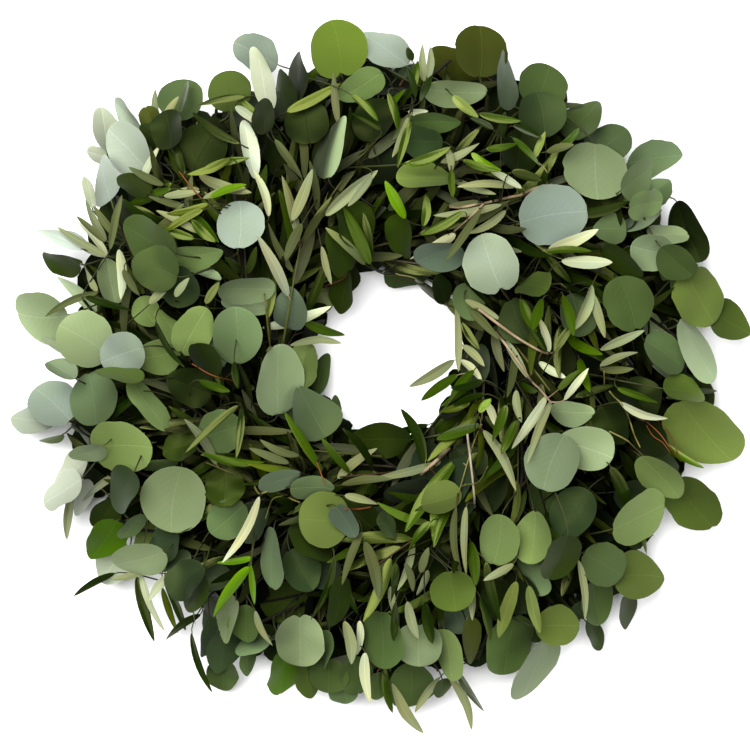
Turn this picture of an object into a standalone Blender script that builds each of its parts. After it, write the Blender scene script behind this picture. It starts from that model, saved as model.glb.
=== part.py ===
"""A wreath of round-leaved eucalyptus and olive twigs, bound with wire to a four-rail wire ring.

The wreath lies on its back: +Z points out of its face and +Y is the top as it hangs. Each leafy stem has its
cut end on a seat over the two raised rails, under a turn of the binding wire, and leaves that seat clockwise.
"""

import math
import random

import bmesh
import bpy
import numpy as np
from mathutils import Matrix, Vector
from mathutils.bvhtree import BVHTree

# Driving dimensions, in metres
PIXEL = 0.00075  # what one pixel of the photograph measures on the wreath
RING_IN_PHOTO = (384, 362)  # the pixel over the middle of the wire ring
RAIL_SIDE = 0.0025
RAILS = {  # the circle's radius, and how high the rail's underside is
    "outer": (0.127, 0.0),
    "high_outer": (0.111, 0.0105),
    "high_inner": (0.095, 0.0105),
    "inner": (0.079, 0.0),
}
SEATS = 24  # straight stretches in a rail, and turns of the binding wire
BRACES = 6
BRACE = {"shoulder": 0.55, "slim": 0.88}  # where a brace turns level, and its thickness next to a rail's
BINDING_RADIUS = 0.0007
BINDING_TURN = (  # the rail passed, how far outside its circle, at which level, and degrees behind the seat
    ("high_outer", 0.0015, "over", 1.5),
    ("high_inner", -0.0010, "over", -1.5),
    ("high_inner", -0.0040, "beside", -4.0),
    ("high_inner", -0.0010, "under", -6.0),
    ("high_outer", 0.0010, "under", -9.0),
    ("high_outer", 0.0042, "beside", -11.0),
)
SPRAY_STEM = (0.0020, 0.0012)  # half the side of a eucalyptus stem at its cut end and at its tip
SPRIG_STEM = (0.0016, 0.0011)
SEAT_GAP = 0.0003
CREST_RADIUS = 0.135
CREST_HEIGHT = 0.092  # the leaves are highest over this circle
EDGE_HEIGHT = 0.015
RIM_REACH = 0.150
HOLE_REACH = 0.100
HOLE_RADIUS = 0.062  # leaves placed by rule stay between these two circles
RIM_RADIUS = 0.255
LEAST_HEIGHT = 0.0020
PETIOLE_RADIUS = {"round": 0.0009, "olive": 0.0007}
KEEL = {"round": 0.0013, "olive": 0.0012}  # thickness of a blade along its midrib
# How far an olive leaf's two lower corners lie under its middle, as shares of its half thickness
LOWER_CORNERS = {"petiole": 0.6, "blade": 0.5}
CLEARANCE = 0.0007
LONGEST_PETIOLE = 0.085
SEED = 7

# How a shown leaf lies: shares of the crown's slope that its run and its face take, then spreads and limits
POSE = {
    "run_slope": 0.7,
    "face_slope": 0.42,
    "pitch_spread": 9,
    "most_pitch": 0.6,
    "least_shown": 0.47,
    "roundness": 0.9,
    "widest": 1.12,
    "least_olive_width": 0.0065,
    "roll": {"round": (-6, 6), "olive": (0, 38)},
    "bend": {"round": (-0.10, 0.06), "olive": (-0.16, 0.06)},
    "cup": {"round": (-0.10, 0.22), "olive": (-0.30, -0.05)},
}
# Where on a stem a leaf may grow, in metres, and how its petiole may turn
FOOTHOLD = {
    "first_point": 3,
    "near_tip": 0.93,
    "step": 0.004,
    "nearest": 0.005,
    "spacing": 0.007,
    "rise": 0.012,
    "turn_cost": 0.015,
    "least_turn": -0.35,
    "twist": 0.93,
}
# How far under the crown a shown leaf may end, in steps, and how many tilts are tried at each
DROP = {"steps": 22, "step": 0.0035, "lowest": 0.008, "tilts": 4}
# Leaves where the shown ones leave a stem bare
SIDE_LEAVES = {
    "most": {"round": 4, "olive": 5},
    "length": {"round": (0.026, 0.036), "olive": (0.036, 0.052)},
    "width_share": {"round": (0.75, 0.95), "olive": (0.17, 0.19)},
    "stalk": {"round": 0.012, "olive": 0.006},
    "outline": {"round": "under", "olive": "olive"},
    "cup": {"round": 0.1, "olive": -0.1},
    "bend": (-0.12, 0.0),
    "turn": (18, 60),
    "climb": (0.05, 0.7),
    "droop": 0.3,
    "lean": 0.4,
    "spacing": 3,
    "tries": 6,
}

# Each family of stems: sweep in degrees, then radius and height along the sweep, past the seat
STEM_SWEEP = (-4, 4, 11, 20, 32, 47, 65)
STEM_DRIFT = {"from_sweep": 18, "outward": (-0.006, 0.006), "upward": (-0.002, 0.003)}
STEM_FAMILIES = {
    "outer": {
        "end": 65,
        "radius": ((-4, 0.108), (10, 0.1085), (25, 0.122), (45, 0.165), (65, 0.232)),
        "height": ((-4, 0.0), (3.5, 0.0), (11, 0.0056), (15, 0.0078), (30, 0.013), (65, 0.017)),
    },
    "crest": {
        "end": 55,
        "radius": ((-4, 0.098), (12, 0.0985), (25, 0.104), (40, 0.122), (58, 0.150)),
        "height": ((-4, 0.0), (3.5, 0.0), (11, 0.0064), (15, 0.010), (30, 0.029), (58, 0.048)),
    },
    "inner": {
        "end": 45,
        "radius": ((-4, 0.098), (10, 0.0975), (20, 0.092), (50, 0.068)),
        "height": ((-4, 0.0), (3.5, 0.0), (11, 0.0056), (15, 0.0078), (50, 0.025)),
    },
}

# Round leaves: x and y of the middle, length and width in pixels of the photograph, heading in degrees
ROUND_ON_TOP = {
    "top left": [
        (240, 225, 48, 48, 90), (126, 148, 58, 44, 135), (261, 78, 66, 26, 100), (181, 98, 44, 46, 80),
        (229, 90, 42, 44, 90), (334, 148, 64, 30, 80), (102, 178, 46, 38, 110), (336, 45, 56, 58, 100),
        (58, 238, 50, 24, 155),
    ],
    "top right": [
        (595, 173, 58, 66, 270), (552, 218, 68, 60, 10), (490, 262, 56, 54, 110), (456, 90, 60, 27, 0),
        (424, 180, 56, 28, 180), (657, 158, 60, 42, 10), (540, 115, 46, 48, 100), (652, 250, 45, 38, 350),
        (584, 118, 50, 36, 50), (480, 50, 52, 54, 90), (505, 80, 54, 36, 80), (657, 191, 38, 34, 40),
    ],
    "right": [
        (708, 430, 80, 66, 315), (552, 462, 58, 54, 250), (585, 449, 56, 44, 340), (696, 352, 68, 44, 300),
        (660, 477, 58, 38, 315), (625, 303, 54, 50, 290), (641, 518, 60, 52, 20), (702, 297, 60, 54, 300),
        (665, 353, 48, 36, 330), (697, 503, 60, 48, 310), (733, 322, 46, 40, 330),
    ],
    "bottom": [
        (537, 672, 68, 50, 255), (642, 579, 54, 50, 0), (604, 565, 46, 44, 330), (324, 517, 50, 58, 180),
        (300, 642, 50, 50, 270), (419, 646, 42, 54, 270), (558, 627, 46, 42, 0), (381, 640, 58, 42, 270),
        (452, 590, 40, 50, 280), (496, 538, 50, 40, 260), (532, 537, 52, 36, 265), (272, 557, 60, 28, 265),
        (449, 655, 54, 32, 280), (177, 499, 66, 66, 260), (102, 541, 48, 38, 235),
    ],
    "left": [
        (85, 340, 60, 56, 150), (38, 315, 58, 56, 180), (123, 446, 62, 54, 0), (237, 335, 56, 50, 90),
        (123, 355, 46, 42, 200), (50, 404, 50, 48, 140), (93, 399, 52, 50, 100), (30, 421, 48, 36, 175),
        (196, 330, 50, 38, 60), (197, 256, 56, 28, 10), (248, 290, 56, 26, 0), (222, 432, 46, 44, 200),
        (150, 403, 60, 22, 125),
    ],
    "round the hole": [
        (278, 379, 70, 52, 90), (312, 414, 54, 50, 120), (290, 309, 40, 34, 90), (437, 255, 44, 38, 200),
    ],
}
ROUND_BELOW = {
    "top left": [
        (155, 242, 46, 50, 150), (385, 45, 58, 42, 140), (255, 50, 50, 36, 150), (307, 124, 42, 44, 100),
        (270, 146, 58, 30, 105), (205, 150, 52, 50, 60), (100, 128, 44, 24, 100), (122, 113, 42, 24, 140),
        (283, 94, 52, 32, 100), (297, 76, 48, 30, 100), (360, 85, 50, 30, 210), (250, 150, 60, 16, 100),
        (115, 215, 46, 40, 120), (182, 285, 44, 40, 150),
    ],
    "top right": [
        (435, 123, 52, 20, 0), (456, 64, 62, 36, 160), (543, 84, 46, 50, 70), (611, 141, 46, 42, 40),
        (609, 230, 34, 32, 180), (643, 220, 44, 24, 30), (420, 143, 45, 32, 180), (352, 222, 50, 40, 120),
        (402, 235, 40, 30, 90), (670, 235, 38, 24, 0), (692, 230, 66, 32, 290), (372, 120, 46, 42, 90),
        (520, 150, 46, 40, 80),
    ],
    "right": [
        (683, 272, 54, 36, 300), (657, 327, 38, 28, 330), (622, 262, 50, 20, 320), (572, 410, 44, 26, 0),
        (640, 400, 46, 40, 300), (612, 425, 44, 36, 300), (650, 440, 44, 34, 320),
    ],
    "bottom": [
        (510, 648, 60, 50, 260), (598, 605, 44, 36, 280), (573, 513, 55, 42, 240), (547, 497, 44, 40, 270),
        (534, 572, 50, 26, 290), (302, 570, 45, 38, 300), (312, 540, 50, 30, 320), (283, 605, 44, 48, 250),
        (281, 675, 46, 42, 265), (328, 678, 36, 40, 270), (308, 683, 38, 30, 285), (338, 600, 50, 26, 265),
        (412, 688, 44, 48, 270), (456, 620, 34, 34, 300), (356, 678, 38, 34, 280), (470, 642, 44, 26, 280),
        (247, 624, 38, 34, 270), (228, 622, 46, 26, 250), (222, 655, 48, 38, 260), (221, 680, 34, 34, 270),
        (500, 600, 44, 38, 270), (430, 560, 46, 40, 260),
    ],
    "left": [
        (73, 292, 50, 30, 150), (155, 355, 52, 36, 190), (171, 327, 44, 24, 120), (158, 276, 48, 46, 160),
        (111, 280, 46, 28, 100), (246, 306, 50, 20, 350), (122, 411, 58, 30, 200), (181, 447, 38, 30, 200),
        (225, 487, 38, 40, 270), (68, 475, 44, 34, 220), (103, 515, 34, 30, 240), (112, 567, 46, 42, 230),
        (142, 545, 50, 20, 260), (228, 518, 44, 40, 220), (190, 385, 46, 40, 160), (165, 545, 40, 34, 230),
    ],
    "round the hole": [
        (303, 366, 50, 34, 80), (380, 440, 64, 36, 180), (342, 291, 44, 28, 260), (340, 250, 44, 36, 110),
    ],
}

# Olive leaves: x and y of the base, x and y of the tip and the width, in pixels
OLIVE_ON_TOP = {
    "twig over the top right": [
        (455, 235, 409, 262, 12), (470, 228, 441, 262, 9), (500, 207, 433, 217, 9), (505, 212, 468, 235, 9),
        (472, 222, 418, 236, 10), (520, 190, 485, 172, 7), (515, 188, 455, 190, 6),
        (547, 250, 597, 232, 13), (543, 253, 590, 251, 6), (560, 262, 610, 263, 14),
    ],
    "top middle": [
        (326, 217, 378, 173, 13), (293, 222, 313, 172, 12), (405, 220, 385, 183, 12),
        (423, 228, 425, 195, 10), (276, 142, 305, 180, 9), (287, 113, 340, 84, 12),
        (370, 265, 345, 210, 14), (370, 262, 362, 215, 10), (365, 265, 325, 235, 10), (424, 82, 421, 42, 9),
        (424, 82, 431, 55, 7), (408, 120, 395, 160, 8), (410, 115, 393, 142, 7), (270, 218, 255, 172, 9),
    ],
    "upper left": [
        (205, 200, 247, 190, 8), (200, 177, 250, 195, 12), (172, 190, 125, 205, 9), (165, 225, 125, 203, 9),
        (150, 232, 195, 240, 9), (205, 170, 250, 160, 8), (240, 145, 190, 110, 10),
        (185, 175, 175, 140, 10), (107, 256, 48, 223, 6), (107, 256, 60, 232, 8), (120, 250, 121, 300, 11),
        (125, 270, 140, 297, 9), (98, 292, 44, 318, 8), (86, 297, 133, 311, 9), (195, 215, 218, 245, 9),
        (140, 190, 160, 145, 8),
    ],
    "right": [
        (545, 352, 518, 300, 10), (548, 352, 538, 317, 9), (553, 352, 574, 322, 9), (465, 300, 500, 320, 8),
        (470, 310, 498, 340, 9), (590, 286, 570, 330, 12), (588, 290, 604, 338, 10),
        (592, 285, 633, 337, 8), (598, 350, 644, 331, 10), (598, 366, 636, 350, 8), (562, 400, 586, 368, 8),
        (556, 390, 580, 370, 8), (617, 402, 670, 420, 9), (615, 388, 657, 405, 8), (609, 466, 633, 518, 14),
        (545, 396, 510, 448, 11), (515, 390, 519, 422, 9), (550, 400, 527, 462, 9),
    ],
    "round the hole": [
        (457, 300, 457, 372, 8), (463, 345, 484, 366, 9), (461, 360, 480, 381, 8), (455, 360, 411, 386, 12),
        (458, 375, 418, 401, 11), (462, 322, 480, 350, 8), (425, 463, 401, 409, 13),
        (262, 328, 332, 308, 12), (302, 320, 346, 336, 11), (290, 345, 344, 344, 9),
        (338, 478, 377, 445, 11), (322, 470, 284, 412, 10),
    ],
    "below the hole": [
        (455, 460, 402, 527, 16), (458, 490, 432, 545, 10), (430, 520, 407, 548, 9),
        (480, 425, 437, 440, 12), (455, 505, 456, 583, 8), (465, 505, 462, 578, 8),
        (470, 540, 475, 584, 12), (483, 430, 515, 490, 11), (365, 540, 378, 597, 13),
        (362, 530, 343, 583, 9), (335, 555, 313, 620, 8), (425, 600, 433, 642, 12),
        (407, 600, 420, 638, 11), (515, 580, 500, 640, 16), (528, 585, 540, 633, 13),
        (480, 595, 493, 640, 9),
    ],
    "bottom": [
        (365, 652, 371, 703, 12), (392, 685, 423, 737, 12), (450, 678, 474, 737, 10),
        (455, 668, 483, 722, 10), (385, 670, 395, 717, 10), (345, 620, 349, 665, 13),
        (578, 560, 588, 622, 8), (250, 565, 213, 615, 13), (252, 563, 253, 605, 7), (256, 610, 273, 645, 8),
        (261, 495, 224, 560, 10), (72, 490, 57, 543, 12), (112, 575, 68, 601, 8), (150, 568, 110, 580, 8),
        (135, 578, 155, 643, 12), (140, 575, 160, 635, 9), (175, 572, 148, 602, 10),
        (200, 615, 160, 643, 9), (190, 635, 212, 695, 8), (165, 580, 182, 637, 9),
    ],
}

# Half widths along a blade, as shares of its length and of half its width
BLADE_STATIONS = {
    "round": ((0.20, 0.80), (0.55, 1.00), (0.86, 0.68)),
    "under": ((0.28, 0.93), (0.76, 0.86)),
    "olive": ((0.34, 1.00), (0.74, 0.66)),
}


def clear_scene():
    for item in list(bpy.data.objects):
        bpy.data.objects.remove(item, do_unlink=True)


def material(name, colour, roughness, metallic=0.0):
    made = bpy.data.materials.new(name)
    made.use_nodes = True
    shader = made.node_tree.nodes["Principled BSDF"]
    shader.inputs["Base Color"].default_value = (*colour, 1.0)
    shader.inputs["Roughness"].default_value = roughness
    shader.inputs["Metallic"].default_value = metallic
    made.diffuse_color = (*colour, 1.0)
    return made


def polar(radius, degrees, height):
    angle = math.radians(degrees)
    return Vector((radius * math.cos(angle), radius * math.sin(angle), height))


def at_pixel(x, y):
    return Vector(((x - RING_IN_PHOTO[0]) * PIXEL, (RING_IN_PHOTO[1] - y) * PIXEL, 0.0))


def crown_height(radius):
    reach = RIM_REACH if radius > CREST_RADIUS else HOLE_REACH
    fall = ((radius - CREST_RADIUS) / reach) ** 2
    return EDGE_HEIGHT + (CREST_HEIGHT - EDGE_HEIGHT) * max(0.0, 1.0 - fall)


def crown_slope(radius):
    step = 0.002
    return (crown_height(radius + step) - crown_height(radius - step)) / (2 * step)


def loft(rings, closed=False, tip=None):
    """Join rings of equal count with triangles that run alike on every face, and close the ends."""
    count = len(rings[0])
    corners = [corner for ring in rings for corner in ring]
    faces = []
    spans = len(rings) if closed else len(rings) - 1
    for span in range(spans):
        here = span * count
        ahead = ((span + 1) % len(rings)) * count
        for side in range(count):
            beside = (side + 1) % count
            # the shared diagonals of a blade start at its edges, corners 0 and 2
            if count == 4 and side in (1, 3):
                faces.append((here + side, here + beside, ahead + side))
                faces.append((here + beside, ahead + beside, ahead + side))
            else:
                faces.append((here + side, here + beside, ahead + beside))
                faces.append((here + side, ahead + beside, ahead + side))
    if closed:
        return corners, faces
    faces.extend((0, step + 1, step) for step in range(1, count - 1))
    last = (len(rings) - 1) * count
    if tip is None:
        faces.extend((last, last + step, last + step + 1) for step in range(1, count - 1))
    else:
        corners.append(tip)
        faces.extend((last + side, last + (side + 1) % count, len(corners) - 1) for side in range(count))
    return corners, faces


def square_tube(points, halves, closed=False):
    """A four-sided bar along the points with its flats level, where no stretch runs straight up."""
    rings = []
    for index, point in enumerate(points):
        before = points[index - 1] if index or closed else point
        after = points[(index + 1) % len(points)] if index + 1 < len(points) or closed else point
        along = (after - before).normalized()
        side = along.cross(Vector((0, 0, 1))).normalized()
        rise = side.cross(along)
        half = halves[index]
        corners = ((half, -half), (half, half), (-half, half), (-half, -half))
        rings.append([point + side * across + rise * up for across, up in corners])
    return loft(rings, closed)


class Stem:
    """One leafy stem: its route from the seat, its pieces and the leaves that it carries."""

    def __init__(self, kind, family, seat, rng):
        self.kind = kind
        self.family = family
        self.seat = seat
        start, end = SPRAY_STEM if kind == "round" else SPRIG_STEM
        plan = STEM_FAMILIES[family]
        sweeps = [sweep for sweep in STEM_SWEEP if sweep < plan["end"]] + [plan["end"]]
        drift = rng.uniform(*STEM_DRIFT["outward"])
        lift = rng.uniform(*STEM_DRIFT["upward"])
        floor = RAILS["high_outer"][1] + RAIL_SIDE + SEAT_GAP + start
        self.route = []
        self.halves = []
        for sweep in sweeps:
            share = (sweep - sweeps[0]) / (sweeps[-1] - sweeps[0])
            loose = max(0.0, (sweep - STEM_DRIFT["from_sweep"]) / (sweeps[-1] - STEM_DRIFT["from_sweep"]))
            radius = np.interp(sweep, *zip(*plan["radius"])) + drift * loose
            height = np.interp(sweep, *zip(*plan["height"])) + lift * loose
            self.route.append(polar(radius, seat - sweep, floor + height))
            self.halves.append(start + (end - start) * share)
        self.body = square_tube(self.route, self.halves)
        self.leaves = []

    def footholds(self):
        """Points on the stem's middle line where a leaf may grow, from its first bend to its tip."""
        found = []
        leafy = self.route[FOOTHOLD["first_point"]:]
        for start, end in zip(leafy, leafy[1:]):
            steps = max(1, int((end - start).length / FOOTHOLD["step"]))
            found.extend(start.lerp(end, step / steps) for step in range(steps))
        found.append(leafy[-2].lerp(leafy[-1], FOOTHOLD["near_tip"]))
        return found


class Room:
    """What is already placed, asked whether a new piece would touch it."""

    def __init__(self):
        self.trees = []
        self.owners = []
        self.lows = np.zeros((0, 3))
        self.highs = np.zeros((0, 3))

    def add(self, body, owner):
        corners = np.array(body[0])
        self.trees.append(BVHTree.FromPolygons(body[0], body[1], all_triangles=True))
        self.owners.append(owner)
        self.lows = np.vstack([self.lows, corners.min(axis=0)])
        self.highs = np.vstack([self.highs, corners.max(axis=0)])

    def touches(self, body, passed=None):
        corners = np.array(body[0])
        low, high = corners.min(axis=0), corners.max(axis=0)
        near = np.nonzero(np.all(self.lows <= high, axis=1) & np.all(self.highs >= low, axis=1))[0]
        if not len(near):
            return False
        tree = BVHTree.FromPolygons(body[0], body[1], all_triangles=True)
        return any(self.owners[item] is not passed and tree.overlap(self.trees[item]) for item in near)

    def is_free(self, body):
        return min(corner.z for corner in body[0]) > LEAST_HEIGHT and not self.touches(body)


class Leaf:
    """A blade on its petiole. The blade runs from base along axis, and its upper face looks along normal."""

    def __init__(self, kind, base, axis, normal, length, width, bend, cup, outline=None, root=None):
        self.kind = kind
        self.outline = BLADE_STATIONS[outline or kind]
        self.base = base
        self.axis = axis
        self.normal = normal
        self.side = axis.cross(normal)
        self.length = length
        self.width = width
        self.bend = bend
        self.cup = cup
        self.root = root

    def point(self, along, across, rise=0.0):
        """A point of the blade: along runs 0 to 1, across -1 to 1 at its full width, rise is in metres."""
        half = self.width / 2
        lift = self.bend * self.length * along ** 2 + self.cup * half * across ** 2
        flat = self.axis * self.length * along + self.side * half * across
        return self.base + flat + self.normal * (lift + rise)

    def blade_rings(self, swell):
        thick = KEEL[self.kind] / 2 + swell
        rings = []
        for along, share in self.outline:
            edge = share + 2 * swell / self.width
            left, right = self.point(along, -edge), self.point(along, edge)
            top = self.point(along, 0, thick)
            if self.kind == "round":
                rings.append([left, top, right, self.point(along, 0, -thick)])
            else:
                drop = self.normal * thick * LOWER_CORNERS["blade"]
                rings.append([left - drop, top, right - drop])
        return rings

    def tip(self, swell):
        return self.point(1.0, 0) + self.axis * swell

    def petiole_ring(self, middle, along, radius):
        side = (self.side - along * self.side.dot(along)).normalized() * radius
        rise = side.cross(along)
        if self.kind == "round":
            return [middle - side, middle + rise, middle + side, middle - rise]
        lower = middle - rise * LOWER_CORNERS["petiole"]
        return [lower - side, middle + rise, lower + side]

    def body(self, swell=0.0):
        run = (self.base - self.root).normalized()
        turn = (run + self.axis).normalized()
        radius = PETIOLE_RADIUS[self.kind] + swell
        rings = [self.petiole_ring(self.root, run, radius), self.petiole_ring(self.base, turn, radius)]
        return loft(rings + self.blade_rings(swell), tip=self.tip(swell))

    def blade(self, swell=0.0):
        first = self.petiole_ring(self.base, self.axis, PETIOLE_RADIUS[self.kind] + swell)
        return loft([first] + self.blade_rings(swell), tip=self.tip(swell))


def ring_bars():
    """The four rails and the braces that arch from the inner rail over the raised ones to the outer rail."""
    half = RAIL_SIDE / 2
    bars = []
    turn = 360 / SEATS
    for radius, underside in RAILS.values():
        corner_radius = radius / math.cos(math.radians(turn / 2))
        points = [polar(corner_radius, turn * (step + 0.5), underside + half) for step in range(SEATS)]
        bars.append(square_tube(points, [half] * SEATS, closed=True))
    inner, outer = RAILS["inner"], RAILS["outer"]
    high_inner, high_outer = RAILS["high_inner"], RAILS["high_outer"]
    arch = [inner, high_inner, high_outer, outer]
    shoulder = BRACE["shoulder"]
    for brace in range(BRACES):
        angle = turn * 0.5 + 360 / BRACES * brace
        points = [polar(radius, angle, underside + half) for radius, underside in arch]
        points.insert(1, points[0].lerp(points[1], shoulder) + Vector((0, 0, half)))
        points.insert(4, points[4].lerp(points[3], shoulder) + Vector((0, 0, half)))
        bars.append(square_tube(points, [half * BRACE["slim"]] * len(points)))
    return bars


def binding_route():
    """Points of one closed winding, a turn to each seat, round the raised rails and the cut ends on them."""
    rail_underside = RAILS["high_outer"][1]
    stem_top = rail_underside + RAIL_SIDE + SEAT_GAP + 2 * SPRAY_STEM[0]
    levels = {
        "over": stem_top + SEAT_GAP + BINDING_RADIUS,
        "beside": rail_underside + RAIL_SIDE / 2,
        "under": rail_underside - SEAT_GAP - BINDING_RADIUS,
    }
    route = []
    for seat in range(SEATS):
        angle = -(seat + 0.5) * 360 / SEATS
        route.extend(polar(RAILS[rail][0] + away, angle + lag, levels[level])
                     for rail, away, level, lag in BINDING_TURN)
    return route


def binding_turns():
    route = binding_route()
    core_radius = (RAILS["high_outer"][0] + RAILS["high_inner"][0]) / 2
    core_height = RAILS["high_outer"][1] + RAIL_SIDE / 2
    thirds = [math.radians(turn) for turn in (180, 60, -60)]
    rings = []
    for index, point in enumerate(route):
        along = (route[(index + 1) % len(route)] - route[index - 1]).normalized()
        inward = polar(core_radius, math.degrees(math.atan2(point.y, point.x)), core_height) - point
        inward = (inward - along * inward.dot(along)).normalized() * BINDING_RADIUS
        side = along.cross(inward)
        rings.append([point + inward * math.cos(turn) + side * math.sin(turn) for turn in thirds])
    return loft(rings, closed=True)


def plan_stems(rng):
    """Every seat has one stem in its outer slot and one in its inner slot, eucalyptus and olive by turns."""
    stems = []
    for seat in range(SEATS):
        angle = (seat + 0.5) * 360 / SEATS
        outer_kind = "round" if seat % 2 == 0 else "olive"
        inner_family = "inner" if seat % 3 == 2 else "crest"
        inner_kind = "olive" if seat % 2 == 0 else "round"
        stems.append(Stem(outer_kind, "outer", angle, rng))
        stems.append(Stem(inner_kind, inner_family, angle, rng))
    return stems


def posed_leaf(kind, base, tip, width, height, outline, rng):
    """A leaf whose plan runs from base to tip, tilted with the crown and rolled to its shown width."""
    middle = (base + tip) / 2
    radius = middle.length
    heading = (tip - base).normalized()
    outward = middle / radius
    slope = crown_slope(radius)
    pitch = math.atan(slope * POSE["run_slope"] * outward.dot(heading))
    pitch += math.radians(rng.gauss(0, POSE["pitch_spread"]))
    pitch = max(-POSE["most_pitch"], min(POSE["most_pitch"], pitch))
    axis = heading * math.cos(pitch) + Vector((0, 0, math.sin(pitch)))
    length = (tip - base).length / math.cos(pitch)
    normal = Vector((0, 0, 1)) - outward * slope * POSE["face_slope"]
    normal = (normal - axis * normal.dot(axis)).normalized()
    roll = math.radians(rng.uniform(*POSE["roll"][kind]))
    if kind == "round":
        roll += math.acos(min(1.0, max(POSE["least_shown"], width / (POSE["roundness"] * length))))
    normal = Matrix.Rotation(roll * rng.choice((-1, 1)), 3, axis) @ normal
    side = axis.cross(normal)
    shown = max(POSE["least_shown"], math.hypot(side.x, side.y))
    true_width = min(width / shown, POSE["widest"] * length)
    if kind == "olive":
        true_width = max(POSE["least_olive_width"], true_width)
    bend, cup = rng.uniform(*POSE["bend"][kind]), rng.uniform(*POSE["cup"][kind])
    start = base + Vector((0, 0, height - axis.z * length / 2))
    return Leaf(kind, start, axis, normal, length, true_width, bend, cup, outline)


class Footholds:
    """Where leaves of one kind may grow, on all the stems of that kind."""

    def __init__(self, stems):
        self.stems = []
        points = []
        for stem in stems:
            found = stem.footholds()
            points.extend(found)
            self.stems.extend([stem] * len(found))
        self.points = np.array(points)

    def nearest(self, leaf, count):
        away = np.array(leaf.base) - self.points
        distance = np.linalg.norm(away, axis=1)
        run = away / distance[:, None]
        turn = run @ np.array(leaf.axis)
        twist = np.abs(run @ np.array(leaf.side))
        score = distance + FOOTHOLD["turn_cost"] * (1.0 - turn)
        fit = (distance > FOOTHOLD["nearest"]) & (distance < LONGEST_PETIOLE)
        fit &= (turn > FOOTHOLD["least_turn"]) & (twist < FOOTHOLD["twist"])
        fit &= away[:, 2] > -FOOTHOLD["rise"]
        picked = []
        for item in np.argsort(score, kind="stable"):
            if not fit[item]:
                continue
            spot = self.points[item]
            if all(np.linalg.norm(spot - self.points[other]) > FOOTHOLD["spacing"] for other in picked):
                picked.append(item)
            if len(picked) == count:
                break
        return [(Vector(self.points[item]), self.stems[item]) for item in picked]


def grows(leaf, footholds, room, count=6):
    """Give the leaf the nearest free foothold, or none."""
    if not room.is_free(leaf.blade(CLEARANCE)):
        return None
    for root, stem in footholds.nearest(leaf, count):
        leaf.root = root
        if not room.touches(leaf.body(CLEARANCE), passed=stem):
            stem.leaves.append(leaf)
            room.add(leaf.body(), "leaf")
            return leaf
    return None


def place_shown_leaf(kind, base, tip, width, layer, footholds, room, rng):
    """Try the leaf at falling heights under the crown, with a few tilts at each."""
    radius = ((base + tip) / 2).length
    first_drop, outline = layer
    for drop in range(DROP["steps"]):
        height = crown_height(radius) - first_drop - DROP["step"] * drop
        if height < DROP["lowest"]:
            break
        for _ in range(DROP["tilts"]):
            leaf = grows(posed_leaf(kind, base, tip, width, height, outline, rng), footholds, room)
            if leaf:
                return leaf
    return None


def round_leaf_ends(reading):
    x, y, length, width, heading = reading
    along = polar(length * PIXEL / 2, heading, 0)
    middle = at_pixel(x, y)
    return middle - along, middle + along, width * PIXEL


def olive_leaf_ends(reading):
    base_x, base_y, tip_x, tip_y, width = reading
    return at_pixel(base_x, base_y), at_pixel(tip_x, tip_y), width * PIXEL


def side_leaf(kind, root, run, side, rng):
    """A leaf that leaves its stem at root, to one side of the stem's run."""
    plan = SIDE_LEAVES
    heading = Matrix.Rotation(side * math.radians(rng.uniform(*plan["turn"])), 3, "Z") @ run
    heading.z = rng.uniform(*plan["climb"])
    heading.normalize()
    length = rng.uniform(*plan["length"][kind])
    width = length * rng.uniform(*plan["width_share"][kind])
    base = root + heading * plan["stalk"][kind]
    axis = (heading - Vector((0, 0, plan["droop"]))).normalized()
    lean = plan["lean"]
    normal = Vector((rng.uniform(-lean, lean), rng.uniform(-lean, lean), 1.0))
    normal = (normal - axis * normal.dot(axis)).normalized()
    bend = rng.uniform(*plan["bend"])
    return Leaf(kind, base, axis, normal, length, width, bend, plan["cup"][kind], plan["outline"][kind], root)


def add_side_leaves(stem, room, rng):
    """Leaves by rule along a stem, on either side by turns, where the shown leaves leave it bare."""
    side = 1
    footholds = stem.footholds()
    for index in range(len(footholds) - 2, 0, -SIDE_LEAVES["spacing"]):
        run = (footholds[index + 1] - footholds[index]).normalized()
        for _ in range(SIDE_LEAVES["tries"]):
            if len(stem.leaves) >= SIDE_LEAVES["most"][stem.kind]:
                return
            leaf = side_leaf(stem.kind, footholds[index], run, side, rng)
            tip = leaf.point(1, 0)
            blade = leaf.blade(CLEARANCE)
            if not HOLE_RADIUS < math.hypot(tip.x, tip.y) < RIM_RADIUS or not room.is_free(blade):
                continue
            if room.touches(leaf.body(CLEARANCE), passed=stem):
                continue
            stem.leaves.append(leaf)
            room.add(leaf.body(), "leaf")
            side = -side
            break


def mesh_object(name, body):
    mesh = bpy.data.meshes.new(name)
    mesh.from_pydata([tuple(corner) for corner in body[0]], [], body[1])
    work = bmesh.new()
    work.from_mesh(mesh)
    bmesh.ops.recalc_face_normals(work, faces=work.faces)
    work.to_mesh(mesh)
    work.free()
    made = bpy.data.objects.new(name, mesh)
    bpy.context.scene.collection.objects.link(made)
    return made


def keep_largest_body(mesh):
    """Drop what a union leaves loose, and fill what it seals."""
    work = bmesh.new()
    work.from_mesh(mesh)
    waiting = set(work.verts)
    groups = []
    while waiting:
        group = {waiting.pop()}
        edge_of_group = list(group)
        while edge_of_group:
            corner = edge_of_group.pop()
            for edge in corner.link_edges:
                other = edge.other_vert(corner)
                if other in waiting:
                    waiting.discard(other)
                    group.add(other)
                    edge_of_group.append(other)
        groups.append(group)
    groups.sort(key=len)
    for group in groups[:-1]:
        bmesh.ops.delete(work, geom=list(group), context="VERTS")
    work.to_mesh(mesh)
    work.free()


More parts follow.
